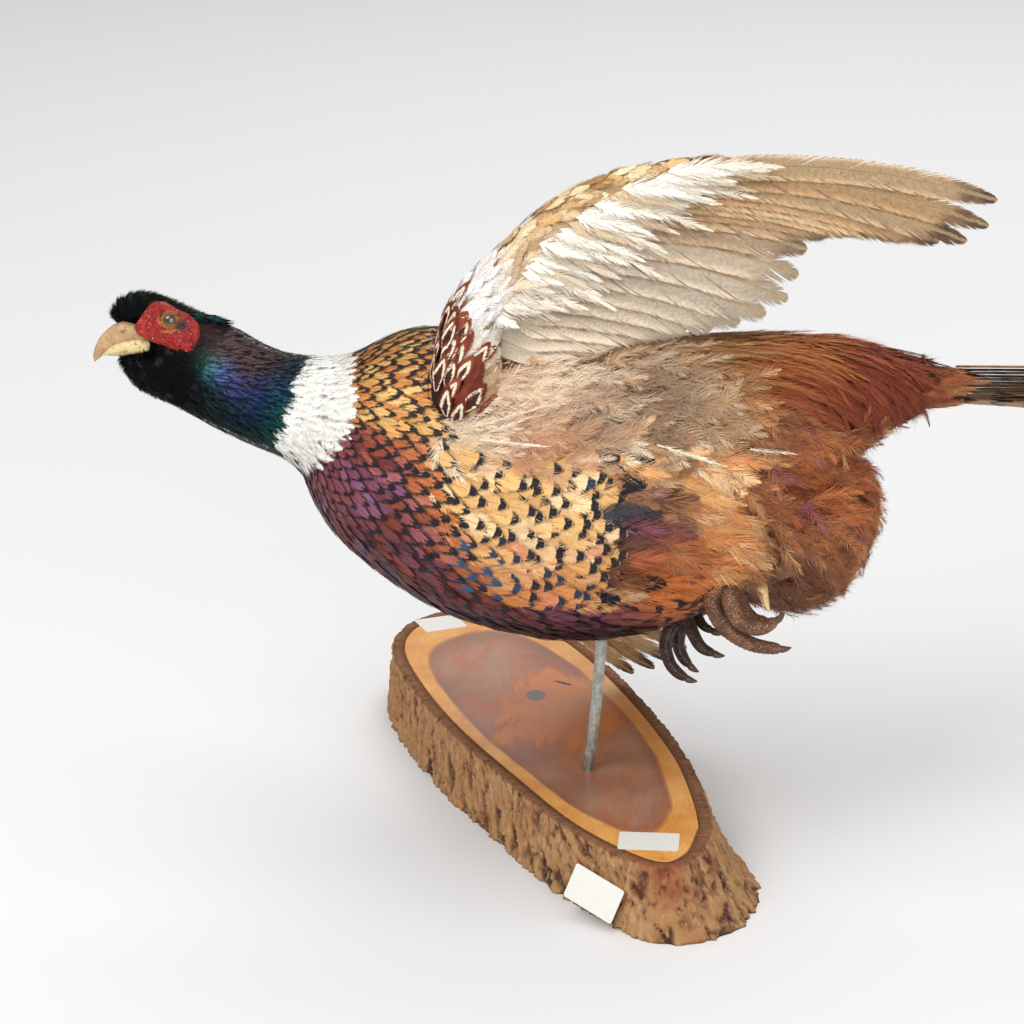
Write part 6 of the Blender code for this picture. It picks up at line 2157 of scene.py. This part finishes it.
def wood_finish():
    """Varnished wood: pale sapwood, a dark line and flamed heartwood, in rings like the outline."""
    g = Finish("sawn_wood", 0.35, specular=0.35, coat=0.25, coat_roughness=0.3)
    warp = g.less(g.noise(g.stretched((14.0, 5.0, 14.0)), 1.0), 0.5)
    knot = spot(g, -0.0234, 0.1006, 0.0052, 0.0074)
    crack = spot(g, -0.0748, 0.0913, 0.0055, 0.0014, g.stretched((1.0, 1.0, 1.0), 35.0))
    depth = g.plus(g.line(warp, 0.16, g.attribute("Share", "Fac")), g.times(g.ramp(knot, 4.0, 1.0), 0.05))
    rings = g.math("SINE", g.times(depth, 230.0))
    fibre = g.noise(g.stretched((900.0, 120.0, 900.0)), 1.0, 4.0)
    flame = g.noise(g.stretched((46.0, 13.0, 30.0), -14.0), 1.0, 5.0, 0.6, 0.8)
    flame = g.ramp(g.line(g.ramp(spot(g, -0.005, 0.075, 0.045, 0.060), 1.5, 0.3), 0.22, flame), 0.44, 0.76)
    heart = g.layers(g.mix(g.clouds(18.0, 0.35, 0.65), (150, 100, 78), (176, 130, 104)),
                     (flame, 1, (186, 92, 42)), (g.ramp(flame, 0.45, 0.95), 0.6, (220, 138, 60)))
    sap = g.mix(g.clouds(40.0, 0.3, 0.7), (216, 142, 62), (236, 172, 92))
    edge = g.times(g.ramp(depth, 0.68, 0.80), g.ramp(depth, 0.84, 0.81))
    colour = g.layers(heart, (g.ramp(depth, 0.80, 0.84), 1, sap), (edge, 0.35, (120, 66, 44)),
                      (g.ramp(rings, 0.3, 1.0), 0.09, (112, 66, 46)),
                      (g.ramp(knot, 2.6, 1.2), 0.8, (204, 112, 54)),
                      (g.ramp(knot, 1.15, 0.85), 1, (112, 102, 96)),
                      (g.ramp(crack, 1.3, 0.8), 1, (44, 28, 24)),
                      # The tiny pale specks are painted glints on the varnish.
                      (g.clouds(620.0, 0.74, 0.80), 0.7, (240, 222, 200)))
    return g.done(g.shaded(colour, g.ramp(fibre, 0.3, 0.7, 0.92, 1.06)), g.line(rings, 0.15, fibre), 0.25,
                  0.0002, g.ramp(fibre, 0.3, 0.7, 0.30, 0.46))


def bark_finish():
    g = Finish("furrowed_bark", 0.85, specular=0.25)
    fine = g.noise(g.stretched((420.0, 420.0, 220.0)), 1.0, 5.0, 0.65)
    cloud, top = g.noise(g.position(), 45.0), g.parts(g.position())["Z"]
    # Ridge's tone and the fine noise darken the furrows and lighten the ridge tops and flecks: partly the
    # bark's own colour, partly painted shade and painted highlight.
    colour = g.mix(g.ramp(g.line(fine, 0.5, g.attribute("Ridge", "Fac")), 0.48, 1.02), (82, 54, 40),
                   (180, 136, 92))
    red = g.times(g.ramp(spot(g, 0.050, -0.112, 0.032, 0.026), 1.35, 0.6), g.ramp(cloud, 0.4, 0.6))
    colour = g.layers(colour, (g.ramp(cloud, 0.45, 0.7), 0.45, (160, 104, 66)),
                      (g.ramp(fine, 0.52, 0.70), 0.5, (212, 176, 132)),
                      (red, g.ramp(top, 0.012, 0.028, 0.0, 0.6), (140, 62, 40)),
                      (g.ramp(top, 0.0345, 0.0358), 0.7, (132, 84, 54)))
    return g.done(colour, fine, 0.9, 0.0018, g.ramp(fine, 0.3, 0.7, 0.95, 0.7))


def rod_finish():
    g = Finish("dull_steel", 0.4, metallic=0.9)
    cloud, streak = g.noise(g.position(), 260.0, 4.0), g.noise(g.stretched((900.0, 900.0, 60.0)), 1.0)
    colour = g.mix(g.ramp(cloud, 0.35, 0.7), (150, 152, 146), (196, 196, 188))
    colour = g.layers(colour, (g.ramp(streak, 0.5, 0.7), 0.4, (112, 110, 102)))
    return g.done(colour, streak, 0.3, 0.0001, g.ramp(cloud, 0.3, 0.7, 0.34, 0.55))


def paper_finish():
    g = Finish("plain_paper", 0.75, specular=0.3)
    rough = g.noise(g.position(), 1500.0)
    return g.done(g.mix(g.ramp(rough, 0.3, 0.7), (218, 216, 208), (230, 229, 223)), rough, 0.2, 0.00005)


# The add-on


def colour_value(name, description, default):
    return FloatVectorProperty(name=name, description=description, subtype="COLOR", size=3, min=0.0, max=1.0,
                               default=tuple(float(v) for v in default))


class PlumageSettings(bpy.types.PropertyGroup):
    ruffle: FloatProperty(name="Ruffle", description="How far the feathers stray from their lie",
                          default=1.0, min=0.0, max=3.0, subtype="FACTOR")
    copper: colour_value("Breast", "The breast's copper", COPPER)
    gold: colour_value("Flank", "The flank's gold", GOLD)
    chestnut: colour_value("Back", "The chestnut of the back", CHESTNUT)
    olive: colour_value("Rump", "The rump's olive", OLIVE)


class FaceSettings(bpy.types.PropertyGroup):
    horn: colour_value("Bill", "The bill's horn", srgb(196, 160, 118))
    rim: colour_value("Lower bill", "The paler lower bill", srgb(226, 204, 146))
    speck: colour_value("Specks", "The specks on the bill", srgb(112, 74, 48))


class StandSettings(bpy.types.PropertyGroup):
    label_count: IntProperty(name="Labels", description="Blank labels on the slab", default=3, min=0, max=3)


class StageSettings(bpy.types.PropertyGroup):
    floor: colour_value("Floor", "The floor", srgb(230, 230, 230))
    light: FloatProperty(name="Light", description="Strength of the soft lights", default=1.0, min=0.0)
    lens: FloatProperty(name="Lens", description="Focal length of the camera", default=133.6, unit="CAMERA")


MADE = {}                    # what is made once and used by more than one piece


def finishes():
    """The feather finishes, made once."""
    if "finishes" not in MADE:
        MADE["finishes"] = {
            "skin": skin_finish(), "satin": small_finish("feather_satin", 0.6),
            "glossy": small_finish("feather_glossy", 0.42, 0.3, 0.45),
            "sheeny": small_finish("feather_sheeny", 0.42, 0.7, 0.3),
            "velvet": small_finish("feather_velvet", 0.85, 0.0, 0.12),
            "vane": long_finish("wing_vanes", 0.6, 0.35, flight_marks, 90.0, 0.35, None,
                                (0.8, (214, 184, 138))),
            "tail": long_finish("tail_vanes", 0.5, 0.4, tail_marks, 160.0, 0.2, (150, 112, 104),
                                (0.7, (120, 84, 54))),
        }
    return MADE["finishes"]


class BuildSkin(bpy.types.Operator):
    """Make the one skin under the plumage"""
    bl_idname, bl_label = "pheasant.skin", "Skin"

    def execute(self, context):
        skin, MADE["surface"] = make_skin(finishes()["skin"])
        fit(skin, "plumage_fluff", *FLESH)
        return {"FINISHED"}


class BuildBody(bpy.types.Operator):
    """Set the feathers of the body, tract by tract"""
    bl_idname, bl_label = "pheasant.body", "Body feathers"

    def execute(self, context):
        rows = staggered_rows(MADE["surface"], np.random.default_rng(99))
        for row in range(1, len(TRACTS)):
            dress_tract(row, MADE["surface"], rows, finishes())
        dress_quills(MADE["surface"], finishes())
        return {"FINISHED"}


class BuildHead(bpy.types.Operator):
    """Set the velvet of the head and the ear tufts"""
    bl_idname, bl_label = "pheasant.head", "Head feathers"

    def execute(self, context):
        dress_head(MADE["surface"], finishes())
        dress_ear_tufts(finishes())
        return {"FINISHED"}


class BuildFace(bpy.types.Operator):
    """Make the bill, the eyes and the red skin round them"""
    bl_idname, bl_label = "pheasant.face", "Face"

    def execute(self, context):
        face = context.scene.pheasant_face
        speck = np.array(face.speck)
        dress_bill(horn_finish("bill", np.array(face.horn), speck, 0.38, 700.0, 0.1),
                   horn_finish("bill_rim", np.array(face.rim), speck, 0.38, 500.0, 0.1))
        dress_eyes(eye_finish())
        dress_wattles(wattle_finish())
        return {"FINISHED"}


class BuildWings(bpy.types.Operator):
    """Set the flight feathers, the coverts and the small feathers of both wings"""
    bl_idname, bl_label = "pheasant.wings", "Wings"

    def execute(self, context):
        dress_arms(finishes())
        dress_flight(finishes())
        return {"FINISHED"}


class BuildTail(bpy.types.Operator):
    """Lay the folded tail and its coverts"""
    bl_idname, bl_label = "pheasant.tail", "Tail"

    def execute(self, context):
        dress_tail(finishes())
        return {"FINISHED"}


class BuildFeet(bpy.types.Operator):
    """Make the scaled legs and toes, the claws and the spurs"""
    bl_idname, bl_label = "pheasant.feet", "Feet"

    def execute(self, context):
        # The far foot's leather is a darker copy of the near one's: painted shade for the shadow under the
        # body.
        leathers = (leg_finish("near_leather", srgb(160, 112, 78), srgb(112, 72, 50)),
                    leg_finish("far_leather", srgb(92, 62, 44), srgb(46, 32, 26)))
        dress_legs(leathers, horn_finish("claw", srgb(92, 70, 54), srgb(36, 26, 22), 0.35, 500.0),
                   horn_finish("spur", srgb(226, 196, 136), srgb(168, 120, 66), 0.4, 500.0))
        return {"FINISHED"}


class BuildStand(bpy.types.Operator):
    """Make the slab of wood with its bark, the rod and the blank labels"""
    bl_idname, bl_label = "pheasant.stand", "Stand"

    def execute(self, context):
        dress_wood(wood_finish())
        dress_bark(bark_finish())
        dress_rod(rod_finish())
        dress_labels(paper_finish(), context.scene.pheasant_stand.label_count)
        return {"FINISHED"}


CAMERA_PLACE, CAMERA_TILT = (-0.036, -1.75319, 0.77961), 70.9
FLOOR_REACH = 14.0
LIGHTS = (                   # name, place, target, size and watts
    ("key", (-1.3, -1.5, 2.2), (0.1, 0.0, 0.2), 1.6, 40.0),
    ("fill", (0.5, -2.5, 0.9), (0.1, 0.0, 0.2), 1.8, 26.0),
    ("rim", (0.6, 1.8, 1.9), (0.1, 0.0, 0.2), 1.6, 18.0),
    ("top", (0.1, -0.1, 2.6), (0.1, 0.0, 0.1), 1.8, 18.0),
)


class BuildStage(bpy.types.Operator):
    """Make the floor, the soft lights and the camera"""
    bl_idname, bl_label = "pheasant.stage", "Stage"

    def execute(self, context):
        scene = context.scene
        settings = scene.pheasant_stage
        g = Finish("stage_paper", 0.9, specular=0.1)
        material = g.done(g.mix(g.noise(g.position(), 8.0, 2.0), np.array(settings.floor) * 0.985,
                                np.array(settings.floor)))
        corners = np.array([(x * FLOOR_REACH, y * FLOOR_REACH, 0.0)
                            for x, y in ((-1, -1), (1, -1), (1, 1), (-1, 1))])
        floor = place("floor", make_mesh("floor", corners, None, np.array([(0, 1, 2, 3)])), material)
        scene.view_settings.view_transform = "Standard"
        world = bpy.data.worlds.new("studio")
        scene.world = world
        world.use_nodes = True
        world.node_tree.nodes["Background"].inputs["Color"].default_value = (1.0, 1.0, 1.0, 1.0)
        world.node_tree.nodes["Background"].inputs["Strength"].default_value = 0.45 * settings.light
        for name, spot, target, size, power in LIGHTS:
            data = bpy.data.lights.new(name, "AREA")
            data.size, data.energy = size, power * settings.light
            lamp = bpy.data.objects.new(name, data)
            lamp.location = spot
            lamp.rotation_euler = (Vector(target) - Vector(spot)).to_track_quat("-Z", "Y").to_euler()
            scene.collection.objects.link(lamp)
        data = bpy.data.cameras.new("camera")
        data.sensor_width, data.lens = 36.0, settings.lens
        camera = bpy.data.objects.new("camera", data)
        camera.location = CAMERA_PLACE
        camera.rotation_euler = (radians(CAMERA_TILT), 0.0, 0.0)
        scene.collection.objects.link(camera)
        scene.camera = camera
        return {"FINISHED"}


STEPS = (BuildStage, BuildSkin, BuildBody, BuildHead, BuildFace, BuildWings, BuildTail, BuildFeet,
         BuildStand)


class PheasantPanel(bpy.types.Panel):
    bl_idname, bl_label = "VIEW3D_PT_pheasant", "Mounted cock pheasant"
    bl_space_type, bl_region_type, bl_category = "VIEW_3D", "UI", "Pheasant"

    def draw(self, context):
        for step in STEPS:
            self.layout.operator(step.bl_idname)
        for name, group in GROUPED:
            box = self.layout.box()
            for field in group.__annotations__:
                box.prop(getattr(context.scene, name), field)


GROUPED = (("pheasant_plumage", PlumageSettings), ("pheasant_face", FaceSettings),
           ("pheasant_stand", StandSettings), ("pheasant_stage", StageSettings))


def register():
    for name, group in GROUPED:
        bpy.utils.register_class(group)
        setattr(bpy.types.Scene, name, bpy.props.PointerProperty(type=group))
    for step in STEPS:
        bpy.utils.register_class(step)
    bpy.utils.register_class(PheasantPanel)


def unregister():
    bpy.utils.unregister_class(PheasantPanel)
    for step in reversed(STEPS):
        bpy.utils.unregister_class(step)
    for name, group in reversed(GROUPED):
        delattr(bpy.types.Scene, name)
        bpy.utils.unregister_class(group)


def main():
    register()
    for step in STEPS:
        family, word = step.bl_idname.split(".")
        getattr(getattr(bpy.ops, family), word)()


if __name__ == "__main__":
    main()
